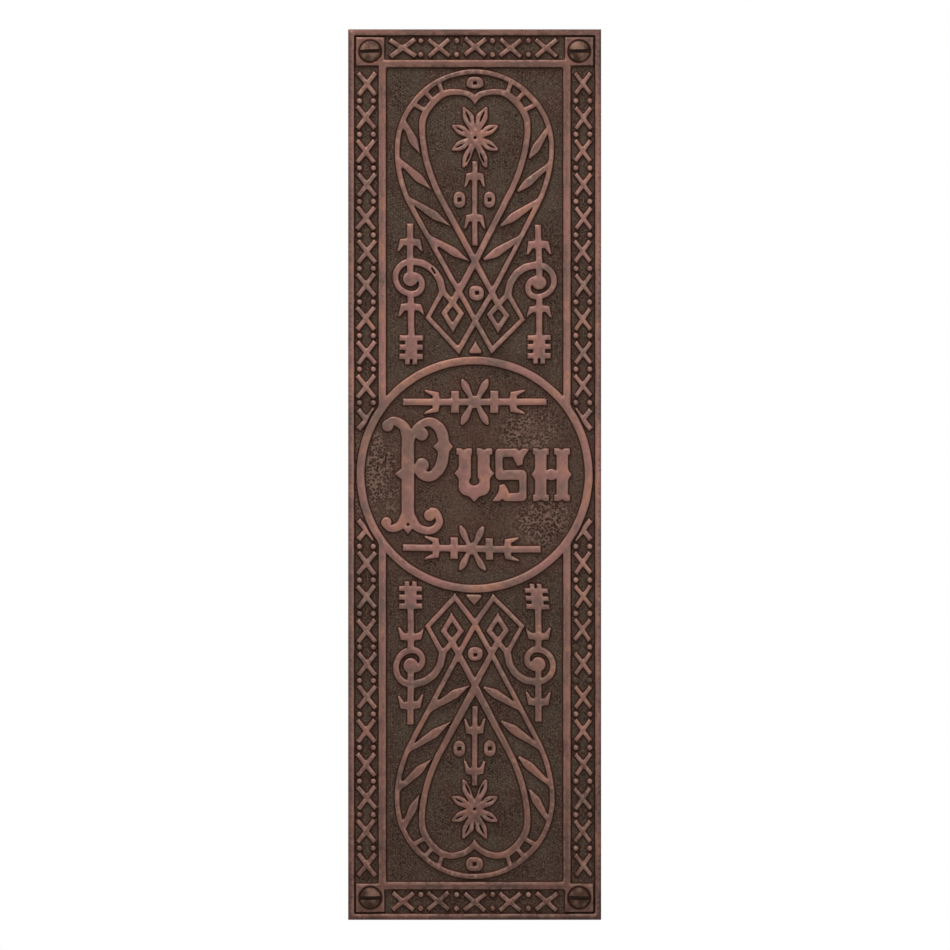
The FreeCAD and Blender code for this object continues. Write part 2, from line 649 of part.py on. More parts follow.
# Key: feet, toothed bit, stem with barbs, scroll and the arm that runs to the lattice.
key_across = panel_half - size("key_inset")
key_foot = ring_outer - size("key_drop")
bit_low = key_foot + size("foot_height")
bit_high = bit_low + size("bit_height")
core_half = size("bit_core") / 2
stem_half = size("key_stem") / 2
scroll_up = key_foot + size("scroll_rise")
turn_top = scroll_up + size("scroll_radius")
turn_low = scroll_up - size("scroll_radius")
half_panel.append(rectangle(key_across - core_half, key_across + core_half, bit_low, bit_high))
teeth = round(size("bit_teeth"))
tooth_height = size("bit_height") / (teeth - 1 + size("tooth_share")) * size("tooth_share")
for step in range(teeth):
    tooth_low = bit_low + step * (size("bit_height") - tooth_height) / (teeth - 1)
    half_panel.append(rectangle(key_across - size("bit_width") / 2, key_across + size("bit_width") / 2,
                                tooth_low, tooth_low + tooth_height))
for outer in (key_across - core_half, key_across + core_half - size("foot_width")):
    half_panel.append(rectangle(outer, outer + size("foot_width"), key_foot, bit_low + tooth_height))
bead_up = turn_low + size("bead_rise")
for low, high in ((bit_high - tooth_height, turn_low), (bead_up, key_foot + size("key_height"))):
    half_panel.append(rectangle(key_across - stem_half, key_across + stem_half, low, high))
for rise in ("upper_barb_rise", "lower_barb_rise"):
    half_panel += barbs(key_across, key_foot + size(rise), 0,
                        size("key_barb_span"), size("key_barb_fall"), size("barb_thickness"))
facet = size("scroll_facet")
scroll_start = (key_across - size("scroll_shift"), turn_top)
scroll_steps = [(size("scroll_radius"), -180), (size("scroll_inner_radius"), -90),
                (size("scroll_end_radius"), -90)]
half_panel.append(strip(faceted(scroll_start, 0, scroll_steps, facet), size("scroll_band")))
half_panel.append(regular(key_across, bead_up, size("scroll_bead"), round(360 / facet)))
arm_start = (key_across - size("arm_run"), turn_top)
arm_line = [(key_across, turn_top)] + faceted(arm_start, 180, [(size("arm_radius"), 90)], facet)
half_panel.append(strip(arm_line, size("arm_band")))
arm_end = arm_line[-1]
half_panel.append(strip([(0, arch_crossing), arch_foot, corner, arm_end], lattice_bar))
half_panel.append(strip([arm_end, diamond[0]], lattice_bar))
relief += half_panel + [mirrored(face) for face in half_panel]

# Arrow inside the ring.
arrow_up = ring_inner - size("arrow_inset")
arrow_half = math.sqrt((ring_inner - size("arrow_end_gap")) ** 2 - arrow_up ** 2)
relief.append(rectangle(-arrow_half, arrow_half, arrow_up - size("arrow_staff") / 2,
                        arrow_up + size("arrow_staff") / 2))
block_half = size("arrow_block") / 2
relief.append(rectangle(-block_half, block_half, arrow_up - block_half, arrow_up + block_half))
for way in (1, -1):
    relief += barbs(way * size("arrow_barb_offset"), arrow_up, way * 90, size("arrow_barb_span"),
                    size("arrow_barb_fall"), size("barb_thickness"))
    bar_across = way * size("arrow_bar_offset")
    relief.append(rectangle(bar_across - size("arrow_bar_width") / 2, bar_across + size("arrow_bar_width") / 2,
                            arrow_up - size("arrow_bar_half"), arrow_up + size("arrow_bar_half")))
    for rise in (1, -1):
        horn_root = (way * block_half / 2, arrow_up + rise * block_half / 2)
        horn_tip = (way * size("horn_reach"), arrow_up + rise * size("horn_height"))
        relief.append(leaf(horn_root, horn_tip, size("leaf_neck"), size("horn_width")))


# Border: crosses with a pair of pellets between each two.
def cross(across, up, width, height):
    """Two bars from corner to corner of a width and a height."""
    right = width / 2
    top = height / 2
    slant = math.hypot(width, height)
    inner = (right - size("cross_bar") * width / slant / 2, top - size("cross_bar") * height / slant / 2)
    bars = []
    for way in (1, -1):
        ends = [(across - way * inner[0], up - inner[1]), (across + way * inner[0], up + inner[1])]
        bars.append(strip(ends, size("cross_bar")))
    return joined(bars)


def pellet(across, up):
    """A small pointed pellet with few sides."""
    base = regular(across, up, size("pellet_diameter") / 2, round(size("pellet_sides")))
    point = place(across, up) - Vector(0, size("pellet_height"), 0)
    rim = [vertex.Point for vertex in base.OuterWire.OrderedVertexes]
    sides = []
    for start, end in zip(rim, rim[1:] + rim[:1]):
        sides.append(Part.Face(Part.makePolygon([start, end, point, start])))
    return Part.makeSolid(Part.makeShell([base] + sides))


channel_middle = size("rim_width") + size("channel_width") / 2
column = half_width - channel_middle
line = half_height - channel_middle
first_up = half_height - pad_reach - size("pad_size") - size("cross_start")
first_across = half_width - pad_reach - size("pad_size") - size("cross_start")
clear_of_ring = ring_outer + size("cross_ring_gap")
ring_keep_out = disc(0, 0, clear_of_ring)
spread = size("pellet_spread") / 2
crosses = []
pellets = []
ring_edge = math.sqrt(max(clear_of_ring ** 2 - column ** 2, 0))
for step in range(int((first_up - ring_edge) / size("cross_pitch")) + 1):
    up = first_up - step * size("cross_pitch")
    side_cross = cross(column, up, size("cross_breadth"), size("cross_length"))
    if up - size("cross_length") / 2 < clear_of_ring:
        side_cross = side_cross.cut(ring_keep_out)
    crosses += [side_cross, mirrored(side_cross)]
    pellet_up = up - size("cross_pitch") / 2
    if math.hypot(column - spread, pellet_up) > clear_of_ring + size("pellet_diameter") / 2:
        pair = [pellet(column + way * spread, pellet_up) for way in (1, -1)]
        pellets += pair + [mirrored(stud) for stud in pair]
row_gaps = round(2 * first_across / size("cross_pitch"))
for step in range(row_gaps + 1):
    across = first_across - step * 2 * first_across / row_gaps
    crosses.append(cross(across, line, size("cross_length"), size("cross_breadth")))
    if step < row_gaps:
        pellets += [pellet(across - first_across / row_gaps, line + way * spread) for way in (1, -1)]

upper_faces = doc.addObject("Part::Feature", "upper_ornament_faces")
upper_faces.Shape = Part.makeCompound([joined(relief)] + crosses)
checked(upper_faces)
upper_relief = doc.addObject("Part::Extrusion", "upper_ornament")
upper_relief.Base = upper_faces
upper_relief.DirMode = "Custom"
upper_relief.Dir = Vector(0, -1, 0)
upper_relief.setExpression("LengthFwd", "dimensions.relief_height")
upper_relief.Solid = True
checked(upper_relief)
upper_pellets = doc.addObject("Part::Feature", "upper_pellets")
upper_pellets.Shape = Part.makeCompound(pellets)
checked(upper_pellets)

# The lower half repeats the upper one, and all of it is one casting.
halves = [upper_relief, upper_pellets]
for source in (upper_relief, upper_pellets):
    lower = doc.addObject("Part::Mirroring", source.Name.replace("upper", "lower"))
    lower.Source = source
    lower.Normal = Vector(0, 0, 1)
    halves.append(checked(lower))
finger_plate = doc.addObject("Part::MultiFuse", "finger_plate")
finger_plate.Shapes = [blank] + halves
finger_plate.Refine = True
checked(finger_plate)

# One screw turned about its axis and slotted, then the other three corners.
CROWN = f"{FACE} - dimensions.head_sink + dimensions.head_rise"
HEAD = "dimensions.head_diameter / 2"
NECK = "dimensions.neck_diameter / 2"
THREAD = "dimensions.thread_diameter / 2"
screws = doc.addObject("PartDesign::Body", "fixing_screws")
screws.AllowCompound = True
profile = new_sketch(screws, "screw_profile", "XY_Plane",
                     {"x": SCREW_X, "y": f"-({CROWN})", "z": SCREW_Z})
profile_corners = [
    ("0", "0"),
    (HEAD, "dimensions.head_rise"),
    (NECK, f"dimensions.head_rise + ({HEAD} - {NECK}) / {HEAD_SLOPE}"),
    (NECK, f"{CROWN} + dimensions.neck_reach"),
    (THREAD, f"{CROWN} + dimensions.neck_reach"),
    (THREAD, f"{CROWN} + dimensions.thread_reach"),
    ("0", f"{CROWN} + dimensions.point_reach"),
]
spots = []
for pair in profile_corners:
    spots.append(Vector(*[float(profile.evalExpression(text)) for text in pair]))
crown_radius = (spots[1].x ** 2 + spots[1].y ** 2) / (2 * spots[1].y)
crown_circle = Part.Circle(Vector(0, crown_radius), Vector(0, 0, 1), crown_radius)
crown_end = math.atan2(spots[1].y - crown_radius, spots[1].x)
profile.addGeometry(Part.ArcOfCircle(crown_circle, -math.pi / 2, crown_end), False)
for start, end in zip(spots[1:], spots[2:] + spots[:1]):
    profile.addGeometry(Part.LineSegment(start, end), False)
profile.addConstraint(Sketcher.Constraint("PointOnObject", 0, 3, -2))
for step, (across, along) in enumerate(profile_corners):
    profile.addConstraint(Sketcher.Constraint("Coincident", (step - 1) % len(spots), 2, step, 1))
    if across == "0":
        profile.addConstraint(Sketcher.Constraint("PointOnObject", step, 1, -2))
    else:
        bind(profile, Sketcher.Constraint("DistanceX", -1, 1, step, 1, spots[step].x), across)
    if along == "0":
        profile.addConstraint(Sketcher.Constraint("PointOnObject", step, 1, -1))
    else:
        bind(profile, Sketcher.Constraint("DistanceY", -1, 1, step, 1, spots[step].y), along)
turned = screws.newObject("PartDesign::Revolution", "turned_screw")
turned.Profile = profile
turned.ReferenceAxis = (profile, ["V_Axis"])
checked(turned)
slot_outline = new_sketch(screws, "slot_outline", "XZ_Plane", {"x": SCREW_X, "y": SCREW_Z, "z": CROWN})
add_rectangle(slot_outline, "dimensions.head_diameter * 2", "dimensions.slot_width")
slot = screws.newObject("PartDesign::Pocket", "driver_slot")
slot.Profile = slot_outline
slot.setExpression("Length", "dimensions.slot_depth")
checked(slot)
mirror_to_corners(screws, "four_screws", [turned, slot])

os.makedirs("parts", exist_ok=True)
for part in (finger_plate, screws):
    shape = part.Shape
    print(part.Label, "solids", len(shape.Solids), "faces", len(shape.Faces), "volume", round(shape.Volume, 1))
    shape.exportStep(f"parts/{part.Label}.step")
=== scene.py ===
# %% [markdown]
# # A door finger plate
# A finger plate keeps hands off the paint of a door. This one is a casting with a copper finish, with raised
# ornament on a sunk, punched ground, and four slotted screws hold it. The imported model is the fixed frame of
# the lesson: it gives every outline, and each Blender piece is built in the same place.

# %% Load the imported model
import math
import bpy
import numpy as np
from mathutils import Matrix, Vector, kdtree, noise
from mathutils.geometry import delaunay_2d_cdt


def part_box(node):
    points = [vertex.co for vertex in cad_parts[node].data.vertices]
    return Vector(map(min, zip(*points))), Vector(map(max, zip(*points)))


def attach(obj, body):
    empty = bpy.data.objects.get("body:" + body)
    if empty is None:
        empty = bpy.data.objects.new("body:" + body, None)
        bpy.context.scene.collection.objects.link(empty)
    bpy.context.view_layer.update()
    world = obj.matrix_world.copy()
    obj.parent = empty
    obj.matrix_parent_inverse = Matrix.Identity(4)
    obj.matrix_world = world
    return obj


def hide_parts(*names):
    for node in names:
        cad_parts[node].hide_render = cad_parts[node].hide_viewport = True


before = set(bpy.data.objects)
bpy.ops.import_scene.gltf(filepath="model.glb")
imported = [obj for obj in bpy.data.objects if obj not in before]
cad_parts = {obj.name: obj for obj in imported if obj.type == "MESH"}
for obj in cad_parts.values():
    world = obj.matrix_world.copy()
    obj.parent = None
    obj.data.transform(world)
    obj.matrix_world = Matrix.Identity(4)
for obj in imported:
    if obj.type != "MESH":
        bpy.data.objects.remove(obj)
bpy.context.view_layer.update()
MM = 0.001
plate_low, plate_high = [np.array(corner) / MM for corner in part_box("finger_plate")]
screws_low, screws_high = [np.array(corner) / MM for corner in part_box("fixing_screws")]
half_width, _, half_height = plate_high
face = plate_low[1]
print("plate", 2 * half_width, "by", 2 * half_height, "mm, face at", face, "mm")

# %% [markdown]
# ## Outlines of the raised tops
# A founder's pattern is cut from a flat drawing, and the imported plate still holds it: the highest triangles
# are the raised tops, and the sides that only one of them uses are the outlines. Tracing them by hand would
# give a second drawing that could drift from the first.

# %% Read the triangles
DECIMALS = 3


def read_triangles(node):
    """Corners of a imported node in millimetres, each kept once, and the triangles between them."""
    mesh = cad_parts[node].data
    mesh.calc_loop_triangles()
    spots = np.empty(len(mesh.vertices) * 3)
    mesh.vertices.foreach_get("co", spots)
    corners = np.empty(len(mesh.loop_triangles) * 3, dtype=np.int32)
    mesh.loop_triangles.foreach_get("vertices", corners)
    spots, index = np.unique(np.round(spots.reshape(-1, 3) / MM, DECIMALS), axis=0, return_inverse=True)
    return spots, index.reshape(-1)[corners].reshape(-1, 3)


def border_loops(triangles):
    """Closed chains of corners along the sides that only one triangle uses."""
    ways = set()
    for triangle in triangles.tolist():
        ways.update(zip(triangle, triangle[1:] + triangle[:1]))
    following = {start: end for start, end in ways if (end, start) not in ways}
    loops = []
    while following:
        first = min(following)
        loop = [first]
        spot = following.pop(first)
        while spot != first:
            loop.append(spot)
            spot = following.pop(spot)
        loops.append(loop)
    return loops


spots, triangles = read_triangles("finger_plate")
print(len(triangles), "triangles in the packed plate")

# %% Find the outlines
HEAD_RADIUS = 3.4
SCREW_MARGIN = 1.0
RIM_MARGIN = 1.0
LEVEL_SLACK = 0.01
PELLET_DROP = 0.1
screw_spots = [np.array((x, z)) for x in (screws_low[0] + HEAD_RADIUS, screws_high[0] - HEAD_RADIUS)
               for z in (screws_low[2] + HEAD_RADIUS, screws_high[2] - HEAD_RADIUS)]


def from_screws(spots):
    """Distance of each spot from the nearest screw's axis."""
    return np.min([np.hypot(*(spots - axis).T) for axis in screw_spots], axis=0)


tops = triangles[(spots[triangles][:, :, 1] < face + LEVEL_SLACK).all(axis=1)]
outlines = []
mouth_radius = 0
for loop in border_loops(tops):
    line = spots[loop][:, [0, 2]]
    if (from_screws(line) < HEAD_RADIUS + SCREW_MARGIN).all():
        mouth_radius = max(mouth_radius, from_screws(line).max())
    elif np.abs(line[:, 0]).max() < half_width - RIM_MARGIN:
        outlines.append(line)
pellets = spots[np.abs(spots[:, 1] - face - PELLET_DROP) < LEVEL_SLACK][:, [0, 2]]
print(len(outlines), "outlines,", len(pellets), "pellets, screw mouths of radius", round(mouth_radius, 2))

# %% [markdown]
# ## The word in the ring
# Such plates often say what to do. The word stands in the ring in the fat capitals of a sign painter, with
# nicked serifs, spurs and ball ends. No font file is used, so each letter is a few overlapping strips, blocks
# and discs.


# %% Shapes that letters are made of
def block(left, right, low, high):
    return [(left, low), (right, low), (right, high), (left, high)]


def disc(across, up, radius, count=20):
    turns = [math.tau * step / count for step in range(count)]
    return [(across + radius * math.cos(turn), up + radius * math.sin(turn)) for turn in turns]


def spur(across, up, reach, rise=1.7):
    """A pointed nib on the side of a stem."""
    return [(across, up - rise), (across + reach, up), (across, up + rise)]


def serif(left, right, low, high, nick, nick_half=0.6):
    """A flat bar across the end of a stem, with a nick in its outer side."""
    middle = (left + right) / 2
    outer, inner = (high, low) if nick > 0 else (low, high)
    return [(left, inner), (left, outer), (middle - nick_half, outer), (middle, outer - nick),
            (middle + nick_half, outer), (right, outer), (right, inner)]


def stroke(path, widths, steps=6):
    """Four-cornered pieces of a brush stroke through the points of a path, with a width at each."""
    spine = np.column_stack((np.array(path, dtype=float), widths))
    padded = np.vstack((2 * spine[0] - spine[1], spine, 2 * spine[-1] - spine[-2]))
    stations = []
    for before, start, end, after in zip(padded, padded[1:], padded[2:], padded[3:]):
        for share in np.arange(steps) / steps:
            bend = (end - before + (2 * before - 5 * start + 4 * end - after) * share
                    + (3 * start - before - 3 * end + after) * share ** 2) * share
            stations.append(start + bend / 2)
    stations = np.array(stations + [spine[-1]])
    run = np.gradient(stations[:, :2], axis=0)
    side = np.column_stack((-run[:, 1], run[:, 0])) / np.hypot(*run.T)[:, None]
    reach = side * stations[:, 2:] / 2
    left = (stations[:, :2] + reach).tolist()
    right = (stations[:, :2] - reach).tolist()
    return [[a, b, c, d] for a, b, c, d in zip(right, right[1:], left[1:], left)]


print("a disc has", len(disc(0, 0, 1)), "corners")

# %% Shapes that overlap
MERGE = 1e-5


def counter_clockwise(shape):
    """The same corners, turning to the left."""
    across, up = np.array(shape).T
    turning = np.sum(across * np.roll(up, -1) - np.roll(across, -1) * up)
    return list(shape) if turning > 0 else list(shape)[::-1]


def overlaid(shapes, wanted=bool):
    """Outlines around the parts of overlapping flat shapes that are wanted, by which shapes lie there."""
    corners = []
    faces = []
    for shape in shapes:
        faces.append(list(range(len(corners), len(corners) + len(shape))))
        corners += [Vector(corner) for corner in counter_clockwise(shape)]
    spots, _, pieces, _, _, sources = delaunay_2d_cdt(corners, [], faces, 0, MERGE)
    kept = np.array([piece for piece, source in zip(pieces, sources) if wanted(list(source))])
    return [np.array(spots)[loop] for loop in border_loops(kept)]


print("two crossed blocks:", len(overlaid([block(0, 3, 1, 2), block(1, 2, 0, 3)])[0]), "corners")

# %% The large initial
STEM_LEFT = -22.0
STEM_RIGHT = -18.2
stem = block(STEM_LEFT, STEM_RIGHT, -13.5, 12.5)
stem_spur = spur(STEM_LEFT + 0.1, 0.2, -2.2)
flag = stroke([(-20.2, 11.5), (-21.4, 14.6), (-24.4, 16.2), (-26.8, 14.9)], [3.6, 3.0, 2.6, 1.8])
bowl = stroke([(-19.0, 10.8), (-17.6, 14.0), (-13.6, 15.9), (-10.2, 13.4), (-9.3, 8.4), (-10.2, 2.6),
               (-13.0, -0.5), (-16.2, 0.3), (-18.0, 3.0)], [2.0, 2.2, 2.7, 3.4, 3.4, 3.4, 3.0, 2.8, 1.2])
upper_balls = [disc(-26.2, 14.7, 1.75), disc(-15.9, 12.2, 2.0), disc(-15.8, 2.9, 2.1)]
tie = block(STEM_RIGHT - 0.2, -15.6, 11.2, 13.2)
bowl_spurs = [spur(-7.8, 8.4, 1.3), spur(-10.8, 8.4, -1.8)]
left_foot = stroke([(-20.6, -12.6), (-22.6, -15.4), (-25.4, -16.2), (-27.6, -14.6)], [3.4, 2.6, 2.0, 1.4])
right_foot = stroke([(-19.6, -12.6), (-17.0, -16.0), (-13.0, -16.8), (-10.6, -14.4), (-11.6, -11.2),
                     (-13.6, -10.7)], [3.4, 2.6, 2.3, 2.2, 1.8, 1.4])
lower_balls = [disc(-26.6, -14.4, 1.6), disc(-13.5, -12.2, 1.75)]
point = [(-22.4, -15.0), (-20.1, -18.0), (-17.8, -15.0), (-20.1, -12.0)]
initial = [stem, stem_spur, *flag, *bowl, *upper_balls, tie, *bowl_spurs, *left_foot, *right_foot,
           *lower_balls, point]
letters = overlaid(initial)
print("the initial:", len(initial), "shapes and", len(letters), "outlines")

# %% The small capitals
CAP_TOP = 7.9
CAP_LOW = -8.0
SERIF = 1.9
SERIF_LAP = 0.5
NICK = 0.7
U_MIDDLE = -0.1
U_CUP = ((4.7, -0.8), (4.7, -4.4), (3.6, -6.0), (1.6, -6.5), (0, -8.2), (0, -3.4), (1.3, -2.8),
         (1.6, -1.9), (1.1, -0.8))
U_STEM = (1.0, 4.7)
U_STEM_LOW = -1.0
U_SERIF = (0.7, 5.4)
S_MIDDLE = (10.95, -0.1)
S_BEND = ((0.2, -1.5), (0.2, 1.5), (-2.3, 1.5), (-2.5, 1.9), (-2.5, 5.0), (-2.3, 5.4), (1.6, 5.4),
          (1.6, 7.9), (-3.9, 7.9), (-4.7, 7.1), (-4.7, -0.5), (-3.9, -1.5))
S_FLARE = ((0.4, 7.9), (1.9, 7.9), (2.6, 7.1), (3.3, 7.9), (5.6, 7.9), (3.7, 5.0), (3.5, 3.1), (2.0, 2.7),
           (0.6, 4.9))
H_MIDDLE = 23.15
H_STEM = (1.5, 5.0)
H_SERIF = (0.8, 5.6)
H_BAR = (-1.7, 1.7)
H_BAR_HALF = 1.2
H_BALL = 1.75


def ends(middle, way, stretch):
    """Left and right end of a stretch on one side of a letter's middle."""
    return sorted(middle + way * reach for reach in stretch)


small = []
for way in (1, -1):
    small += [[(U_MIDDLE + way * x, z) for x, z in U_CUP],
              block(*ends(U_MIDDLE, way, U_STEM), U_STEM_LOW, CAP_TOP - SERIF_LAP),
              serif(*ends(U_MIDDLE, way, U_SERIF), CAP_TOP - SERIF, CAP_TOP, NICK),
              spur(U_MIDDLE + way * 4.6, 0.4, way * 1.4)]
for way in (1, -1):
    for shape in (S_BEND, S_FLARE):
        small.append([(S_MIDDLE[0] + way * x, S_MIDDLE[1] + way * z) for x, z in shape])
for way in (1, -1):
    small += [block(*ends(H_MIDDLE, way, H_STEM), CAP_LOW + SERIF_LAP, CAP_TOP - SERIF_LAP),
              serif(*ends(H_MIDDLE, way, H_SERIF), CAP_TOP - SERIF, CAP_TOP, NICK),
              serif(*ends(H_MIDDLE, way, H_SERIF), CAP_LOW, CAP_LOW + SERIF, -NICK),
              spur(H_MIDDLE + way * 4.9, 0.0, way * 1.2)]
small.append(block(*ends(H_MIDDLE, 1, H_BAR), -H_BAR_HALF, H_BAR_HALF))
small.append(disc(H_MIDDLE, 0.0, H_BALL))
letters += overlaid(small)
print("with the small capitals:", len(letters), "outlines of letters")

# %% [markdown]
# ## Slits and eyes of the two flowers
# Each petal is cut open along its middle, and the flower has a round eye. A pit and a nick are faults of
# the casting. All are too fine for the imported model, so they are drawn here and treated as more outlines.

# %% Draw the slits
FLOWER_UP = 101.1
PETAL_REACH = (7.7, 10.2)
PETALS = 8
EYE_RADIUS = 0.5
EYE_SIDES = 10
SLIT_HALF = 0.24
SLIT_SWELL = ((0.42, 0), (0.54, 0.7), (0.64, 1), (0.74, 0.8), (0.84, 0))
PIT = (-20.1, -14.8, 0.5)
PIT_SIDES = 9
NICK_IN_ARM = ((-13.2, 62.2), (-12.8, 62.5), (-11.7, 60.8), (-12.1, 60.4))
slit = [(share, SLIT_HALF * swell) for share, swell in SLIT_SWELL]
slit += [(share, -reach) for share, reach in slit[-2:0:-1]]
slits = []
for way in (1, -1):
    for step in range(PETALS):
        turn = math.tau * (step + 0.5) / PETALS
        tip = np.array((PETAL_REACH[0] * math.sin(turn), PETAL_REACH[1] * math.cos(turn)))
        side = np.array((-tip[1], tip[0])) / np.hypot(*tip)
        slits.append(np.array([(0, way * FLOWER_UP) + share * tip + reach * side for share, reach in slit]))
    slits.append(np.array(disc(0, way * FLOWER_UP, EYE_RADIUS, EYE_SIDES)))
slits += [np.array(disc(*PIT, PIT_SIDES)), np.array(NICK_IN_ARM)]
print(len(slits), "slits, eyes and faults of the casting")

# %% [markdown]
# ## A carver's hand
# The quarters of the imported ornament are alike, but a pattern carved by hand never repeats itself exactly.
# Moving single outlines would tear motifs apart, so nudges with a place, a move and a reach carry all lines
# near them along.

# %% Nudge the motifs
PANEL_HALF = 26.4
NUDGE_CALM = 0.3
NUDGES = np.array([  # place, move and reach of each
    (0, 104, 0.2, 0.5, 9),  # upper flower
    (0, 111.5, 0.0, 2.5, 2.5),  # upper cusp of the heart
    (-12.2, 110, 1.1, -1.1, 2.5),  # shoulders of the hearts
    (12.2, 110, -1.1, -1.1, 2.5),
    (-12.2, -110, 1.1, 1.1, 2.5),
    (12.2, -110, -1.1, 1.1, 2.5),
    (0, 60, 0.2, -0.8, 9),  # upper crossings
    (0, 54.8, 1.7, 0.2, 2.2),  # upper eyelet of the lattice
    (13, 55, 0.3, -1.8, 7),  # upper right lattice
    (20, 63, 0.2, -1.3, 7),  # upper right scroll
    (21, 52, 0.0, -0.2, 4),  # upper right barb
    (20, 40, 0.1, 0.2, 7),  # upper right key
    (-19, 62, -0.2, 0.3, 9),  # upper left scroll
    (-12, 47, 0.5, -0.2, 9),  # upper left lattice
    (22, 80, -0.6, 0.0, 9),  # upper right leaves
    (11, -22, -2.2, -0.8, 9),  # lower arrow, right half
    (22, -22, -2.2, -0.8, 9),  # its end
    (-12, -22, 0.1, -0.4, 9),  # lower arrow, left half
    (17, -44, -0.2, 2.0, 9),  # lower right key
    (18, -62, -0.3, 2.0, 9),  # lower right scroll
    (8, -51, 0.2, 2.4, 9),  # lower right lattice
    (0, -57, 0.2, 1.8, 9),  # lower crossings
    (0, -54, 0.4, -2.2, 2.2),  # lower eyelet of the lattice
    (4.6, -36, 2.1, -0.2, 4),  # lower peaks of the lattice
    (-4.6, -36, -2.4, 0.0, 4),
    (0, -68.5, 0.3, -2.0, 2),  # end of the lower staff
    (-12, -48, 0.3, 2.0, 9),  # lower left lattice
    (-19, -42, 0.0, 2.1, 9),  # lower left key
    (0, -101, 0.0, 0.5, 9),  # lower flower
])


def nudged(line):
    """A line moved with the motifs around it; frame, ring and border stay."""
    if np.abs(line[:, 0]).max() > PANEL_HALF:
        return line
    away = line[:, None, :] - NUDGES[None, :, :2]
    weight = np.exp(-(away ** 2).sum(axis=2) / (2 * NUDGES[:, 4] ** 2))
    return line + weight @ NUDGES[:, 2:4] / (weight.sum(axis=1) + NUDGE_CALM)[:, None]


print(len(NUDGES), "nudges of", round(np.hypot(*NUDGES[:, 2:4].T).mean(), 2), "mm on average")

# %% Part the barbs from the lattice
BARB_TIP = (15.85, 47.75)
TIP_REACH = 1.6
PARTING = 15.68
TIP_MOVE = (0.2, 1.1)
CORNER_MOVE = (-0.4, -0.2)


def parted(line):
    """Barb tips cut short where they would almost touch the corners of the lattice."""
    quarter = np.abs(line)
    weight = np.exp(-((quarter - BARB_TIP) ** 2).sum(axis=1) / TIP_REACH ** 2)
    move = np.where(quarter[:, :1] > PARTING, TIP_MOVE, CORNER_MOVE)
    return line + np.sign(line) * weight[:, None] * move


print("a barb's tip moves from", BARB_TIP, "to", parted(np.array([BARB_TIP]))[0])

# %% [markdown]
# ## Crosses cut one by one
# The border is a row of small crosses, and each leans and sits a little differently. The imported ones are
# alike, so each is slimmed, stretched, shifted and turned by a seeded random amount, the same in every run.

# %% Recut the crosses
SEED = 7
CROSS_CORNERS = 12
CROSS_STRETCH = {"left": (1.1, 1.17), "right": (0.97, 1.1), "row": (1.1, 1.08), "first": (1.34, 1.08)}
CROSS_THIN = 0.2
CROSS_SHIFT = 0.2
CROSS_LEAN = math.radians(2.5)
FULL_CROSS = 4.5
rng = np.random.default_rng(SEED)
panel_top = half_height - (half_width - PANEL_HALF)


def beside(line, offset):
    """Points of a line moved sideways."""
    run = np.roll(line, -1, axis=0) - np.roll(line, 1, axis=0)
    side = np.column_stack((-run[:, 1], run[:, 0])) / np.hypot(*run.T)[:, None]
    return line + offset * side


def recut(line):
    """A whole cross of the border, slimmer, stretched, shifted and turned, as if cut by hand."""
    reach = np.ptp(line, axis=0)
    if len(line) != CROSS_CORNERS or reach.max() > 2 * FULL_CROSS or reach.min() < FULL_CROSS:
        return line
    middle = line.mean(axis=0)
    if np.abs(middle[0]) < PANEL_HALF and np.abs(middle[1]) < panel_top:
        return line
    lean = rng.uniform(-CROSS_LEAN, CROSS_LEAN)
    turn = np.array([(math.cos(lean), -math.sin(lean)), (math.sin(lean), math.cos(lean))])
    place = "left" if middle[0] < 0 else "right"
    if np.abs(middle[0]) < PANEL_HALF:
        place = "first" if middle[1] > 0 and middle[0] < -PANEL_HALF + reach[0] else "row"
    slim = beside(line, CROSS_THIN)
    shift = rng.uniform(-CROSS_SHIFT, CROSS_SHIFT, 2)
    return middle + shift + (slim - middle) * CROSS_STRETCH[place] @ turn


print("crosses lie beyond", PANEL_HALF, "mm across or", round(panel_top, 1), "mm up")

# %% [markdown]
# ## Eyelets and flowers
# The eyelets were finished with a square punch, and the petals carved free of each other and of the stem. A
# power between a circle's and a square's gives fuller corners, and wedges are cut out of the flower's
# outline, as a chisel would cut them.

# %% Square the eyelets, spread the petals
EYELET_SIZE = 6.5
EYELET_ACROSS = 8.0
FEWEST_CORNERS = 8
SQUARENESS = 3.2
EYELET_TRIM = (0.96, 0.9)
PETAL_UP = 9.4
PETAL_SPREAD = 0.3
FLOWER_HALF = 10.2
SPREAD_START = 1.0


def squared(line):
    """An eyelet with fuller corners, as a punch with a square end leaves it."""
    reach = np.ptp(line, axis=0)
    middle = line.min(axis=0) + reach / 2
    if reach.max() > EYELET_SIZE or abs(middle[0]) > EYELET_ACROSS or len(line) < FEWEST_CORNERS:
        return line
    share = np.abs(line - middle) / (reach / 2)
    fuller = np.hypot(*share.T) / (share ** SQUARENESS).sum(axis=1) ** (1 / SQUARENESS)
    return middle + (line - middle) * fuller[:, None] * EYELET_TRIM


def spread(line):
    """Petals above and below the eye of a flower, leaning further apart."""
    across = np.abs(line[:, 0])
    rise = np.abs(np.abs(line[:, 1]) - FLOWER_UP)
    near = (rise < FLOWER_HALF) & (across < FLOWER_HALF)
    lean = near * PETAL_SPREAD * (rise / PETAL_UP) ** 2 * np.clip(across / SPREAD_START - 1, 0, 1)
    return np.column_stack((line[:, 0] * (1 + lean), line[:, 1]))


print("changed by the square punch:", sum(squared(line) is not line for line in outlines), "outlines")

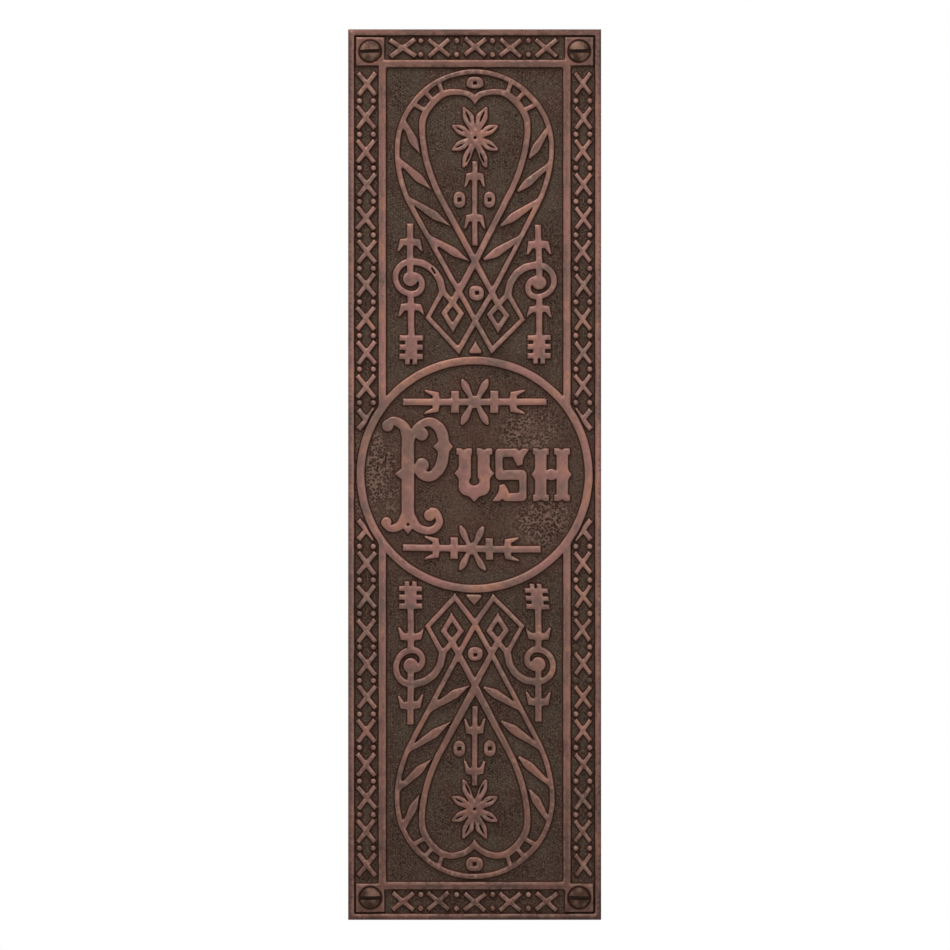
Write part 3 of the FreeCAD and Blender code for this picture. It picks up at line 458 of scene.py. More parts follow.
# %% Cut the flowers free and knot the arrows
NOTCH = ((0.0, 2.7), (0.75, 4.4), (1.15, 5.8), (1.6, 7.1), (2.0, 8.2), (0.8, 8.3), (0.8, 7.1))
NOTCH_HALF = 2.0
NOTCH_UP = FLOWER_UP - 5.8
GAPS = ((0, 2.7, 5.7), (-39, 1.9, 4.2), (39, 1.9, 4.2), (-141, 1.9, 4.2), (141, 1.9, 4.2))
GAP_HALF = 0.29
STEM_HEIGHT = 82.0
ARROW_LENGTH = 40.0
KNOT_HALF = (1.4, 1.85)


def flower_cuts(way):
    """The notch between a flower and its stem, and the gaps between its petals."""
    half = [(x, way * (FLOWER_UP - rise)) for x, rise in NOTCH]
    cuts = [half + [(-x, z) for x, z in half[:0:-1]]]
    middle = np.array((0, way * FLOWER_UP))
    for degrees, start, end in GAPS:
        turn = math.radians(degrees)
        ahead = np.array((math.sin(turn), way * math.cos(turn)))
        side = GAP_HALF * np.array((-ahead[1], ahead[0]))
        cuts.append([middle + start * ahead, middle + end * ahead - side, middle + end * ahead + side])
    return cuts


finished = []
for line in outlines:
    low, high = line.min(axis=0), line.max(axis=0)
    up = np.abs(line[:, 1])
    if high[0] < NOTCH_HALF and abs(up.mean() - NOTCH_UP) < NOTCH_HALF:
        continue    # the gap over the stem, which the notch takes in
    if high[0] < FLOWER_HALF and up.min() < STEM_HEIGHT and up.max() > FLOWER_UP:
        way = 1 if line[:, 1].mean() > 0 else -1
        finished += overlaid([line, *flower_cuts(way)], lambda on: on == [0])
    elif ARROW_LENGTH < high[0] - low[0] < 2 * PANEL_HALF and high[1] - low[1] < ARROW_LENGTH:
        middle = (low[1] + high[1]) / 2
        knot = block(-KNOT_HALF[0], KNOT_HALF[0], middle - KNOT_HALF[1], middle + KNOT_HALF[1])
        finished += overlaid([line, knot])
    else:
        finished.append(line)
outlines = [recut(nudged(parted(spread(squared(line))))) for line in finished]
slits = [nudged(spread(line)) for line in slits]
print(len(outlines), "outlines after the cuts and knots")

# %% [markdown]
# ## Softer lines
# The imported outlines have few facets, but a carver's line is smooth between real corners and never quite
# straight. So each point is moved towards its neighbours and back, tips too thin for metal to fill are cut
# blunt, and a slow seeded noise makes the line waver by hundredths of a millimetre.

# %% Ease the outlines
LINE_STEP = 0.7
LETTER_STEP = 0.8 * LINE_STEP
SLIT_STEP = LINE_STEP / 2
SHARP_TURN = math.radians(52)
THIN_TURN = math.radians(118)
THIN_TIP = 0.65
LEAST_SINE = 0.05
MOST_CUT = 0.4
PULLS = (0.5, -0.52)
ROUNDS = 8
WAVER = 0.07
WAVER_LENGTH = 4.0
noise.seed_set(SEED)    # noise_vector starts from the clock without it


def blunted(line):
    """The same outline with thin tips cut off where they are THIN_TIP wide."""
    before = np.roll(line, 1, axis=0) - line
    after = np.roll(line, -1, axis=0) - line
    corners = []
    for spot, back, ahead in zip(line, before, after):
        opening = math.atan2(back[1] * ahead[0] - back[0] * ahead[1], back @ ahead)
        if not 0 < opening < math.pi - THIN_TURN:
            corners.append(spot)
        else:
            cut = THIN_TIP / 2 / max(math.sin(opening / 2), LEAST_SINE)
            for run in (back, ahead):
                corners.append(spot + run * min(cut / np.hypot(*run), MOST_CUT))
    return np.array(corners)


def eased(line, step):
    """An outline with points about a step apart, smooth between its sharp corners."""
    before = line - np.roll(line, 1, axis=0)
    after = np.roll(line, -1, axis=0) - line
    turn = np.arctan2(before[:, 0] * after[:, 1] - before[:, 1] * after[:, 0], (before * after).sum(axis=1))
    points = []
    fixed = []
    for start, run, sharp in zip(line, after, np.abs(turn) > SHARP_TURN):
        count = max(math.ceil(np.hypot(*run) / step), 1)
        points += [start + run * share for share in np.arange(count) / count]
        fixed += [sharp] + [False] * (count - 1)
    points = np.array(points)
    free = ~np.array(fixed)[:, None]
    for pull in PULLS * ROUNDS:
        middle = (np.roll(points, 1, axis=0) + np.roll(points, -1, axis=0)) / 2
        points = points + pull * free * (middle - points)
    return points


def wavered(line):
    """A line moved by a slow noise."""
    drift = [noise.noise_vector(Vector((x, 0, z)) / WAVER_LENGTH) for x, z in line]
    return line + WAVER * np.array(drift)[:, [0, 2]]


lines = [wavered(eased(blunted(line), LINE_STEP)) for line in outlines]
lines += [wavered(eased(line, LETTER_STEP)) for line in letters]
lines += [eased(line, SLIT_STEP) for line in slits]
print(sum(len(line) for line in lines), "points on", len(lines), "lines")

# %% [markdown]
# ## How far is it to the nearest line?
# Everything about the relief follows from one number: the distance to the nearest outline, counted
# positive on a raised top and negative on the ground. A k-d tree finds the nearest sample, and the side
# comes from counting how many outlines a ray to the right crosses.


# %% Signed distance
def flat_tree(spots):
    """A tree that finds the nearest of many spots on the plate."""
    tree = kdtree.KDTree(len(spots))
    for number, (x, z) in enumerate(spots):
        tree.insert((x, 0, z), number)
    tree.balance()
    return tree


def reach_from(tree, spots):
    """Distance of each spot from the nearest one in a tree."""
    return np.array([tree.find((x, 0, z))[2] for x, z in spots])


class Drawing:
    """All lines between raised and sunk parts."""

    SAMPLE_STEP = 0.12

    def __init__(self, lines):
        self.starts = np.concatenate(lines)
        self.ends = np.concatenate([np.roll(line, -1, axis=0) for line in lines])
        samples = []
        for start, run in zip(self.starts, self.ends - self.starts):
            count = math.ceil(np.hypot(*run) / self.SAMPLE_STEP)
            samples += [start + run * share for share in np.arange(count) / count]
        self.tree = flat_tree(samples)

    def raised(self, spots):
        """Whether a ray to the right crosses an even number of lines."""
        order = np.argsort(spots[:, 1])
        across, up = spots[order].T
        even = np.ones(len(spots), dtype=bool)
        for start, end in zip(self.starts, self.ends):
            (x0, z0), (x1, z1) = (start, end) if start[1] < end[1] else (end, start)
            low, high = np.searchsorted(up, (z0, z1))
            if low < high:
                cut = x0 + (up[low:high] - z0) * (x1 - x0) / (z1 - z0)
                even[low:high] ^= across[low:high] < cut
        answer = np.empty_like(even)
        answer[order] = even
        return answer

    def distance(self, spots):
        """Distance to the nearest line, negative on the ground."""
        reach = reach_from(self.tree, spots)
        return np.where(self.raised(spots), reach, -reach)


drawing = Drawing(lines)
in_ring = np.array([(0.0, 12.0)])
print("a spot on the ground in the ring lies", drawing.distance(in_ring)[0], "mm from a line")

# %% [markdown]
# ## Points of the face
# The face becomes one mesh, so that light runs over wall and ground without a seam. Rows of points follow
# each line on both sides and carry the rounded edge, a fine triangular grid covers the ground, and every
# third grid point is a punch mark. Constrained Delaunay triangulation joins them all and keeps the lines.

# %% Rows along the lines
ROWS = (-0.45, -0.15, 0.18)
ROW_SLACK = 0.25
ROW_SPACING = 0.45 * LINE_STEP
row_points = []
for offset in ROWS:
    both = np.concatenate([beside(line, side * offset) for line in lines for side in (1, -1)])
    true = drawing.distance(both)
    good = both[np.abs(true - offset) < ROW_SLACK * abs(offset)]
    _, first = np.unique(np.round(good / ROW_SPACING), axis=0, return_index=True)
    row_points.append(good[np.sort(first)])
rows = np.concatenate(row_points)
print(len(rows), "points in rows")

# %% Grid of the ground
GRID_STEP = 0.5
GRID_RISE = GRID_STEP * math.sqrt(0.75)
GRID_JITTER = 0.45
GRID_INSET = 0.8
PUNCH_EVERY = 3
high = int(2 * half_height / GRID_RISE) + 1
wide = int(2 * half_width / GRID_STEP) + 1
row, column = np.mgrid[0:high, -(high // 2):wide]
row, column = row.ravel(), column.ravel()
grid = np.column_stack((column + row / 2, row * math.sqrt(0.75))) * GRID_STEP - (half_width, half_height)
grid += rng.uniform(-1, 1, grid.shape) * GRID_STEP * GRID_JITTER
inside = (np.abs(grid) < (half_width - GRID_INSET, half_height - GRID_INSET)).all(axis=1)
grid, row, column = grid[inside], row[inside], column[inside]
grid_punched = (column - row) % PUNCH_EVERY == 0
coarse = (row % 2 == 0) & (column % 2 == 0)
print(len(grid), "points in the whole grid")

# %% Keep clear of walls, pellets and screws
GROUND_CLEAR = 0.66
TOP_CLEAR = 0.5
GRID_MOUTH_CLEAR = 0.4
GRID_PELLET_CLEAR = 0.35
ROW_MOUTH_CLEAR = 0.2
ROW_PELLET_CLEAR = 0.15
PELLET_RADIUS = 0.95
PELLET_RINGS = ((0.0, 1), (0.5, 8), (0.8, 11), (0.95, 11), (1.1, 11), (1.3, 11))
pellet_tree = flat_tree(pellets)
grid_distance = drawing.distance(grid)
kept = np.where(grid_distance < 0, grid_distance < -GROUND_CLEAR, (grid_distance > TOP_CLEAR) & coarse)
kept &= from_screws(grid) >= mouth_radius + GRID_MOUTH_CLEAR
kept &= reach_from(pellet_tree, grid) > PELLET_RADIUS + GRID_PELLET_CLEAR
grid, grid_punched = grid[kept], grid_punched[kept]
off_pellets = reach_from(pellet_tree, rows) > PELLET_RADIUS + ROW_PELLET_CLEAR
rows = rows[off_pellets & (from_screws(rows) >= mouth_radius + ROW_MOUTH_CLEAR)]
domes = []
for axis in pellets:
    for share, count in PELLET_RINGS:
        domes += disc(*axis, share * PELLET_RADIUS, count)
domes = np.array(domes)
print(len(rows), "points in rows,", len(grid), "in the grid,", len(domes), "on pellets")

# %% Join them
EDGE_ROUND = 0.4
EDGE_ROWS = (0.12, EDGE_ROUND)
RIM_STEP = 1.4
MOUTH_SIDES = 48
MOUTH_ROW = 0.25
MOUTH_SLACK = 0.02
FACE_MERGE = 1e-4


def around_plate(inset):
    """Points along the outer edge of the plate, moved inwards."""
    right, top = half_width - inset, half_height - inset
    corners = np.array(block(-right, right, -top, top))
    points = []
    for start, end in zip(corners, np.roll(corners, -1, axis=0)):
        count = round(np.hypot(*(end - start)) / RIM_STEP)
        points += [start + (end - start) * share for share in np.arange(count) / count]
    return np.array(points)


def mouths(radius):
    """A ring of points around each screw."""
    return [np.array(disc(*axis, radius, MOUTH_SIDES)) for axis in screw_spots]


def closed_sides(rings):
    """Pairs of point numbers along closed rings that follow each other in one list."""
    sides = []
    first = 0
    for ring in rings:
        numbers = np.arange(first, first + len(ring))
        sides += zip(numbers.tolist(), np.roll(numbers, -1).tolist())
        first += len(ring)
    return sides


loose = [rows, grid, domes] + [around_plate(inset) for inset in EDGE_ROWS] + mouths(mouth_radius + MOUTH_ROW)
closed = lines + [around_plate(0)] + mouths(mouth_radius)
points = [Vector(point) for point in np.concatenate(closed + loose)]
joined = delaunay_2d_cdt(points, closed_sides(closed), [], 0, FACE_MERGE)
flat = np.array(joined[0])
facets = np.array(joined[2])
facets = facets[from_screws(flat[facets].mean(axis=1)) >= mouth_radius - MOUTH_SLACK]
print(len(flat), "points and", len(facets), "triangles on the face")

# %% [markdown]
# ## Height of the face
# A cast wall leans a little so that the pattern leaves the sand, and handling rounds its upper edge. The
# profile gives the share of the full height at each distance from the line. Pellets are small domes, a few
# worn almost flat, and punch marks sink the ground, less so close to a wall, where a punch does not fit.

# %% Walls and pellets
PROFILE = ((-0.45, 0.0), (-0.15, 0.03), (0.0, 0.86), (0.18, 0.99), (0.5, 1.0))
DOME = ((0.0, 0.91), (0.5, 0.88), (0.8, 0.78), (0.95, 0.3), (1.1, 0.0))
FAINT = ((30.4, -52.2, 0.1), (30.4, -62.2, 0.3), (34.2, -62.2, 0.45))
distance = drawing.distance(flat)
round_pellet = reach_from(pellet_tree, flat) / PELLET_RADIUS
faint = np.ones(len(flat))
for x, z, strength in FAINT:
    faint[np.hypot(flat[:, 0] - x, flat[:, 1] - z) < 2 * PELLET_RADIUS] = strength
dome = np.interp(round_pellet, *np.array(DOME).T) * faint
share = np.maximum(np.interp(distance, *np.array(PROFILE).T), dome)
print(round(100 * (share > 0.5).mean()), "percent of the points are raised")

# %% Punch marks
PUNCH_CLEAR = 0.6
SAME_SPOT = 1e-3
STRIKE = (0.3, 1.3)
WAVE_LENGTH = 9.0
WAVE_MEAN = 0.8
WAVE_SWING = 0.9
WAVE_LIMITS = (0.25, 1.5)
WALL_CLEAR = 0.5
WALL_STRIKE = 0.3
punched = np.zeros(len(flat))
on_ground = np.flatnonzero((distance < -PUNCH_CLEAR) & (round_pellet > PELLET_RINGS[-1][0]))
punched[on_ground] = reach_from(flat_tree(grid[grid_punched]), flat[on_ground]) < SAME_SPOT
wave = np.array([noise.noise(Vector((x, WAVE_LENGTH, z)) / WAVE_LENGTH) for x, z in flat])
strike = punched * rng.uniform(*STRIKE, len(flat)) * np.clip(WAVE_MEAN + WAVE_SWING * wave, *WAVE_LIMITS)
strike *= np.clip((-distance - WALL_CLEAR) / WALL_CLEAR, WALL_STRIKE, 1)
print(int(punched.sum()), "punch marks")

# %% Raise the relief
GROUND = 2.1
RELIEF = 1.1
PUNCH_DEPTH = 0.12
SWELL = 0.05
SWELL_LENGTH = 6.0
swell = np.array([noise.noise(Vector((x, 0, z)) / SWELL_LENGTH) for x, z in flat])
rim = np.minimum(half_width - np.abs(flat[:, 0]), half_height - np.abs(flat[:, 1]))
fall = EDGE_ROUND * (1 - np.sqrt(1 - (1 - np.clip(rim / EDGE_ROUND, 0, 1)) ** 2))
lift = GROUND + RELIEF * share - PUNCH_DEPTH * strike + SWELL * swell * (1 - share) - fall
lift = np.minimum(lift, -face)
print("face from", round(lift.min(), 2), "to", round(lift.max(), 2), "mm above the back")

# %% [markdown]
# ## The casting as one closed mesh
# Sides, screw seats and the flat back are added to the face along its own border loops, so the mesh is
# watertight, as a printer or a foundry would want it.

# %% Sides and screw seats
HOLE_RADIUS = 2.0
HOLE_SLACK = 0.01
SEAT_SLOPE = math.tan(math.radians(41))
LOOP_MARGIN = 0.1
BACK_MERGE = 1e-6
vertices = np.column_stack((flat[:, 0], -lift, flat[:, 1])).tolist()
faces = facets.tolist()


def bridge(lower, upper):
    """Four-sided faces between two rings with as many corners."""
    return list(zip(lower, np.roll(lower, -1).tolist(), np.roll(upper, -1).tolist(), upper))


def add_ring(spots, depth):
    """Numbers of new corners at a depth of the plate."""
    first = len(vertices)
    vertices.extend([x, depth, z] for x, z in spots)
    return list(range(first, len(vertices)))


back_rings = []
back_spots = []
for ring in border_loops(facets):
    spots = flat[ring]
    if (from_screws(spots) < mouth_radius + LOOP_MARGIN).all():
        axis = min(screw_spots, key=lambda spot: np.hypot(*(spots[0] - spot)))
        spots = axis + (spots - axis) * HOLE_RADIUS / mouth_radius
        seat = add_ring(spots, face + (mouth_radius - HOLE_RADIUS) / SEAT_SLOPE)
        faces += bridge(seat, ring)
        ring = seat
    back = add_ring(spots, 0)
    faces += bridge(back, ring)
    back_rings.append(back)
    back_spots.append(spots)
print(len(back_rings), "rings reach the back")

# %% The flat back
back_points = np.concatenate(back_spots)
back_numbers = sum(back_rings, [])
back_corners = [Vector(point) for point in back_points]
back_joined = delaunay_2d_cdt(back_corners, closed_sides(back_rings), [], 0, BACK_MERGE)
for facet in back_joined[2]:
    middle = back_points[list(facet)].mean(axis=0)
    if from_screws(middle[None, :])[0] >= HOLE_RADIUS - HOLE_SLACK:
        faces.append([back_numbers[number] for number in reversed(facet)])


def placed(name, data):
    """A new object in the scene."""
    thing = bpy.data.objects.new(name, data)
    bpy.context.scene.collection.objects.link(thing)
    return thing


def new_piece(name, vertices, faces, sharp):
    """An object from millimetre corners, smooth up to an angle."""
    mesh = bpy.data.meshes.new(name)
    mesh.from_pydata((np.array(vertices) * MM).tolist(), [], faces)
    mesh.validate()
    mesh.polygons.foreach_set("use_smooth", [True] * len(mesh.polygons))
    mesh.set_sharp_from_angle(angle=math.radians(sharp))
    return placed(name, mesh)


CAST_SHARP = 80
plate = new_piece("cast_plate", vertices, faces, CAST_SHARP)
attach(plate, "root")
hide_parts("finger_plate")
print("cast plate:", len(plate.data.polygons), "faces")

# %% [markdown]
# ## Where dirt, hands and painted shade have been
# Dirt gathers at the foot of each wall and painted shade darkens it there and round each screw, hands polish
# the edges and the middle of the plate, with painted highlights on the edges and pellet tops and painted shade
# darkening the tops towards both ends, most at the bottom, and parts of the ring's ground are stippled. The
# shapes know where, so each is stored on the mesh as a number for every corner, which the finish reads.

# %% Paint the plate
FOOT_START = 0.1
FOOT_REACH = 0.55
PELLET_FOOT = 1.25
PELLET_FOOT_REACH = 0.3
SEAT_DARK = 1.2
SEAT_SHADE = 0.2
# a pale band just inside each top's edge and pale pellet tops: partly worn copper, partly painted highlight
RUBBED_HIGHLIT_EDGE = 0.12
RUBBED_HIGHLIT_REACH = 0.2
PELLET_TOP = 0.85
PELLET_RUBBED_HIGHLIT = 0.9
# painted shade: the tops are brightest in the middle, where hands polish them, and darker towards both ends,
# most towards the bottom, as if lit from above
HANDLED_AND_SHADED = ((-134, 0.0), (-100, 0.4), (-60, 0.72), (-32, 0.94), (-28, 1), (28, 1), (32, 0.94), (60, 0.86),
           (95, 0.65), (134, 0.1))
STIPPLED = ((-30, 6, 9), (-30, -6, 9), (16, 14, 9), (20, -13, 9))


def paint(piece, name, values):
    """Store one number for each corner, for the finish to read."""
    padded = np.zeros(len(piece.data.vertices))
    padded[:len(values)] = values
    piece.data.attributes.new(name, "FLOAT", "POINT").data.foreach_set("value", padded)
    print(name, "on", piece.name, "is", round(padded.mean(), 3), "on average")


# painted shade: the ground darkens at the foot of each wall and round each pellet, partly patina and partly
# shade
foot = np.where(distance < 0, np.clip(1 + (distance + FOOT_START) / FOOT_REACH, 0, 1), 0)
pellet_foot = np.clip(1 - np.abs(round_pellet - PELLET_FOOT) / PELLET_FOOT_REACH, 0, 1)
# painted shade: a dark ring round each screw mouth, where the gap at the screw head lies in shadow
seat_shade_ring = np.clip(SEAT_DARK - (from_screws(flat) - mouth_radius) / SEAT_SHADE, 0, 1)
edge = np.clip(1 - np.abs(distance - RUBBED_HIGHLIT_EDGE) / RUBBED_HIGHLIT_REACH, 0, 1)
stipple = [np.exp(-((flat - place) ** 2).sum(axis=1) / reach ** 2) for *place, reach in STIPPLED]
paint(plate, "relief", share)
# the dark map holds patina and painted shade at the feet of walls and pellets, and painted shade round the
# screw seats
paint(plate, "grime_and_shade", np.maximum.reduce([foot, pellet_foot, seat_shade_ring]))
paint(plate, "punch", strike)
paint(plate, "rubbed_and_highlit", np.where(round_pellet < PELLET_TOP, PELLET_RUBBED_HIGHLIT * faint, edge))
paint(plate, "handled_and_shaded", np.interp(flat[:, 1], *np.array(HANDLED_AND_SHADED).T))
paint(plate, "stipple", np.max(stipple, axis=0))

# %% [markdown]
# ## Screws
# Slotted screws with oval countersunk heads hold the plate. The head is a shallow dome that a saw has
# slotted, and the thread is a ridge that climbs round a tapering core. One screw is built as rings around
# its axis and copied to the four corners in one mesh.

# %% Head of a screw
CROWN_RISE = 0.8
SLOT_HALF = 0.56
SLOT_WALL = 0.04
SLOT_STEPS = 21
SLOT_CLEAR = 1.2 * SLOT_HALF
SLOT_FLOOR = 2.75
HEAD_RINGS = ((0.2, 8), (0.4, 16), (0.6, 24), (0.8, 32), (0.94, 40))
AROUND = 40
TINY = 1e-6
head_rim = -screws_low[1] - CROWN_RISE
dome_radius = (HEAD_RADIUS ** 2 + CROWN_RISE ** 2) / (2 * CROWN_RISE)
slot_reach = HEAD_RADIUS - (head_rim - SLOT_FLOOR) * SEAT_SLOPE

head_points = disc(0, 0, HEAD_RADIUS, AROUND)
sides = closed_sides([head_points])
for ring_share, count in HEAD_RINGS:
    head_points += [spot for spot in disc(0, 0, ring_share * HEAD_RADIUS, count) if abs(spot[1]) > SLOT_CLEAR]
for up in (SLOT_HALF, SLOT_HALF - SLOT_WALL, -SLOT_HALF, SLOT_WALL - SLOT_HALF):
    chord = math.sqrt(HEAD_RADIUS ** 2 - up ** 2)
    first = len(head_points)
    head_points += [(chord * part, up) for part in np.linspace(-1, 1, SLOT_STEPS)]
    sides += [(step, step + 1) for step in range(first, len(head_points) - 1)]
head_joined = delaunay_2d_cdt([Vector(point) for point in head_points], sides, [], 0, MERGE)
head_flat = np.array(head_joined[0])
radius = np.hypot(*head_flat.T)
crown = head_rim - dome_radius + CROWN_RISE + np.sqrt(dome_radius ** 2 - radius ** 2)
in_slot = np.abs(head_flat[:, 1]) < SLOT_HALF - SLOT_WALL / 2
head_lift = np.where(in_slot, SLOT_FLOOR, crown)
narrow = np.where(in_slot & (radius > slot_reach), slot_reach / np.maximum(radius, TINY), 1)
head_spots = head_flat * narrow[:, None]
screw_vertices = np.column_stack((head_spots[:, 0], -head_lift, head_spots[:, 1])).tolist()
screw_faces = [list(facet) for facet in head_joined[2]]
print("head:", len(screw_vertices), "corners")

# %% Neck, thread and point
NECK_RADIUS = 1.5
NECK_END = 0.3
THREAD_RADIUS = 1.75
CORE_RADIUS = 1.3
THREAD_END = 12.7
POINT_END = screws_high[1]
POINT_CUT = 0.3
PITCH = 1.7
THREAD_STEP = PITCH / 10
RIDGE_HALF = 0.3
ring = border_loops(np.array(screw_faces))[0]
turns = np.arctan2(head_flat[ring][:, 1], head_flat[ring][:, 0])
head_end = -head_rim + (HEAD_RADIUS - NECK_RADIUS) / SEAT_SLOPE
stations = [head_end, 0.0, NECK_END]
stations += np.arange(NECK_END + THREAD_STEP, POINT_END - POINT_CUT, THREAD_STEP).tolist()
for along in stations:
    if along <= NECK_END:
        reach = np.full(len(turns), NECK_RADIUS)
    else:
        taper = np.clip((POINT_END - along) / (POINT_END - THREAD_END), 0, 1)
        phase = (along / PITCH + turns / math.tau) % 1
        ridge = np.clip(1 - np.abs(phase - 0.5) / RIDGE_HALF, 0, 1) * min((along - NECK_END) / PITCH, 1)
        reach = taper * (CORE_RADIUS + (THREAD_RADIUS - CORE_RADIUS) * ridge)
    first = len(screw_vertices)
    around = (reach * np.cos(turns), np.full(len(turns), along), reach * np.sin(turns))
    screw_vertices += np.column_stack(around).tolist()
    lower = list(range(first, len(screw_vertices)))
    screw_faces += bridge(lower, ring)
    ring = lower
screw_vertices.append([0, POINT_END, 0])
tip = len(screw_vertices) - 1
screw_faces += [(tip, after, before) for before, after in zip(ring, ring[1:] + ring[:1])]
print("one screw:", len(screw_vertices), "corners")

# %% Set the four screws
SCREW_LEAN = 4
SCREW_SHARP = 40
RIM_SHADE_REACH = 0.45
all_vertices = []
all_faces = []
for axis in screw_spots:
    first = len(all_vertices)
    lean = math.radians(rng.uniform(-SCREW_LEAN, SCREW_LEAN))
    for x, y, z in screw_vertices:
        all_vertices.append((axis[0] + x * math.cos(lean) - z * math.sin(lean), y,
                             axis[1] + x * math.sin(lean) + z * math.cos(lean)))
    all_faces += [[first + number for number in corners] for corners in screw_faces]
screws = new_piece("slotted_screws", all_vertices, all_faces, SCREW_SHARP)
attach(screws, "root")
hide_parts("fixing_screws")
below_head = np.zeros(len(screw_vertices) - len(in_slot))
# painted shade: each head darkens towards its rim, where the gap round it lies in shadow
clear_of_rim_shade = np.clip((HEAD_RADIUS - radius) / RIM_SHADE_REACH, 0, 1)
paint(screws, "slot", np.tile(np.concatenate((in_slot.astype(float), below_head)), len(screw_spots)))
paint(screws, "crown", np.tile(np.concatenate((clear_of_rim_shade, below_head)), len(screw_spots)))
print("screws:", len(screws.data.polygons), "faces")

# %% [markdown]
# ## Writing finishes as sums
# A finish is a graph of small nodes. The class below lets a socket take part in Python sums, so that a
# line of code reads like the rule it stands for, and one method makes every other node.


# %% Sockets that add up
class Socket:
    """A shader value that can be used in sums."""

    def __init__(self, finish, link):
        self.finish = finish
        self.link = link

    def sum(self, operation, first, second):
        return self.finish.node("ShaderNodeMath", {"operation": operation}, {0: first, 1: second})

    def __add__(self, other):
        return self.sum("ADD", self, other)

    def __sub__(self, other):
        return self.sum("SUBTRACT", self, other)

    def __rsub__(self, other):
        return self.sum("SUBTRACT", other, self)

    def __mul__(self, other):
        return self.sum("MULTIPLY", self, other)

    __radd__ = __add__
    __rmul__ = __mul__

    def between(self, low, high):
        """0 below low, 1 above high and smooth in between."""
        limits = {"Value": self, "From Min": low, "From Max": high}
        return self.finish.node("ShaderNodeMapRange", {"interpolation_type": "SMOOTHSTEP"}, limits)


class Finish:
    """The nodes of a material or of the world."""

    def __init__(self, owner):
        owner.use_nodes = True
        self.owner = owner
        self.tree = owner.node_tree

    def fill(self, node, inputs):
        for key, value in inputs.items():
            if isinstance(value, Socket):
                self.tree.links.new(value.link, node.inputs[key])
            else:
                node.inputs[key].default_value = value

    def node(self, kind, settings, inputs, output=0):
        node = self.tree.nodes.new(kind)
        for key, value in settings.items():
            setattr(node, key, value)
        self.fill(node, inputs)
        return Socket(self, node.outputs[output])

    def painted(self, name):
        return self.node("ShaderNodeAttribute", {"attribute_name": name}, {}, "Fac")

    def cloud(self, length, detail=3.0, shift=0.0):
        """Soft noise from 0 to 1 with patches of about that length in millimetres."""
        where = self.node("ShaderNodeTexCoord", {}, {}, "Object")
        place = self.node("ShaderNodeVectorMath", {"operation": "ADD"}, {0: where, 1: (shift, shift, shift)})
        settings = {"Vector": place, "Scale": 1 / (length * MM), "Detail": detail}
        return self.node("ShaderNodeTexNoise", {}, settings)

    def dots(self, pitch):
        """Distance to the nearest of scattered dots, in shares of their pitch in millimetres."""
        where = self.node("ShaderNodeTexCoord", {}, {}, "Object")
        return self.node("ShaderNodeTexVoronoi", {}, {"Vector": where, "Scale": 1 / (pitch * MM)}, "Distance")

    def blend(self, share, first, second):
        """A colour between two others."""
        settings = {"data_type": "RGBA", "blend_type": "MIX"}
        return self.node("ShaderNodeMix", settings, {0: share, 6: first, 7: second}, 2)

    def layered(self, colour, *coats):
        """A colour under thin coats, each with its share."""
        for share, coat in coats:
            colour = self.blend(share, colour, coat)
        return colour

    def bump(self, height, strength, reach):
        """A normal from a height; reach is the height of 1 in millimetres."""
        settings = {"Strength": strength, "Distance": reach * MM, "Height": height}
        return self.node("ShaderNodeBump", {}, settings)


def dress(piece, finish, inputs):
    """Feed the main shader of a finish and give the finish to a piece."""
    finish.fill(finish.tree.nodes["Principled BSDF"], inputs)
    piece.data.materials.append(finish.owner)
    print(finish.owner.name + ":", len(finish.tree.nodes), "nodes on", piece.name)


def tint(red, green, blue):
    """A colour as a screen shows it, from 0 to 255, for a shader."""
    parts = [part / 255 for part in (red, green, blue)]
    return (*[part / 12.92 if part < 0.04 else ((part + 0.055) / 1.055) ** 2.4 for part in parts], 1.0)


print("middle grey for a shader is", round(tint(128, 128, 128)[0], 3))

# %% [markdown]
# ## Patinated copper
# The casting was copper plated, darkened with a chemical and then rubbed back, so the tops are a warm,
# cloudy pink brown and the ground stays almost black olive brown. The dark at the foot of each wall is partly
# patina where no cloth reached it and partly painted shade. Noise at four lengths gives the clouds, because a
# patina varies at every scale.

# %% Colour of the tops
UMBER_PINK, ROSE, WARM_COPPER, ASH = tint(103, 79, 71), tint(126, 89, 83), tint(140, 99, 82), tint(88, 74, 68)
SHADED_DULL_DARK, SHADED_DULL_LIGHT, SPECK, BARE_AND_HIGHLIT = tint(70, 52, 46), tint(94, 65, 57), tint(70, 50, 42), tint(166, 132, 118)
copper = Finish(bpy.data.materials.new("patinated_copper"))
broad = copper.cloud(30, 2)
patch = copper.cloud(7, 3, 0.3)
fine = copper.cloud(1.6, 4, 0.7)
handled_and_shaded = copper.painted("handled_and_shaded")
rubbed_and_highlit = copper.painted("rubbed_and_highlit")
bright = copper.layered(
    copper.blend(broad.between(0.35, 0.65), UMBER_PINK, ROSE),
    (patch.between(0.5, 0.68) * 0.7, WARM_COPPER),
    (patch.between(0.46, 0.3) * 0.8, ASH))
# this darker tone of the tops towards the ends is partly painted shade, strongest towards the bottom
dull_and_shaded = copper.blend(patch.between(0.35, 0.65), SHADED_DULL_DARK, SHADED_DULL_LIGHT)
# the pale coat on top edges and pellet tops is partly worn copper and partly painted highlight
top_colour = copper.layered(
    copper.blend(handled_and_shaded, dull_and_shaded, bright),
    (fine.between(0.35, 0.75) * 0.3, SPECK),
    (rubbed_and_highlit * fine.between(0.3, 0.7) * 0.5, BARE_AND_HIGHLIT))
print("tops:", len(copper.tree.nodes), "nodes")

# %% Colour of the ground
EARTH, OLIVE, DUST, RED_EARTH = tint(57, 40, 32), tint(64, 53, 43), tint(104, 84, 72), tint(84, 58, 48)
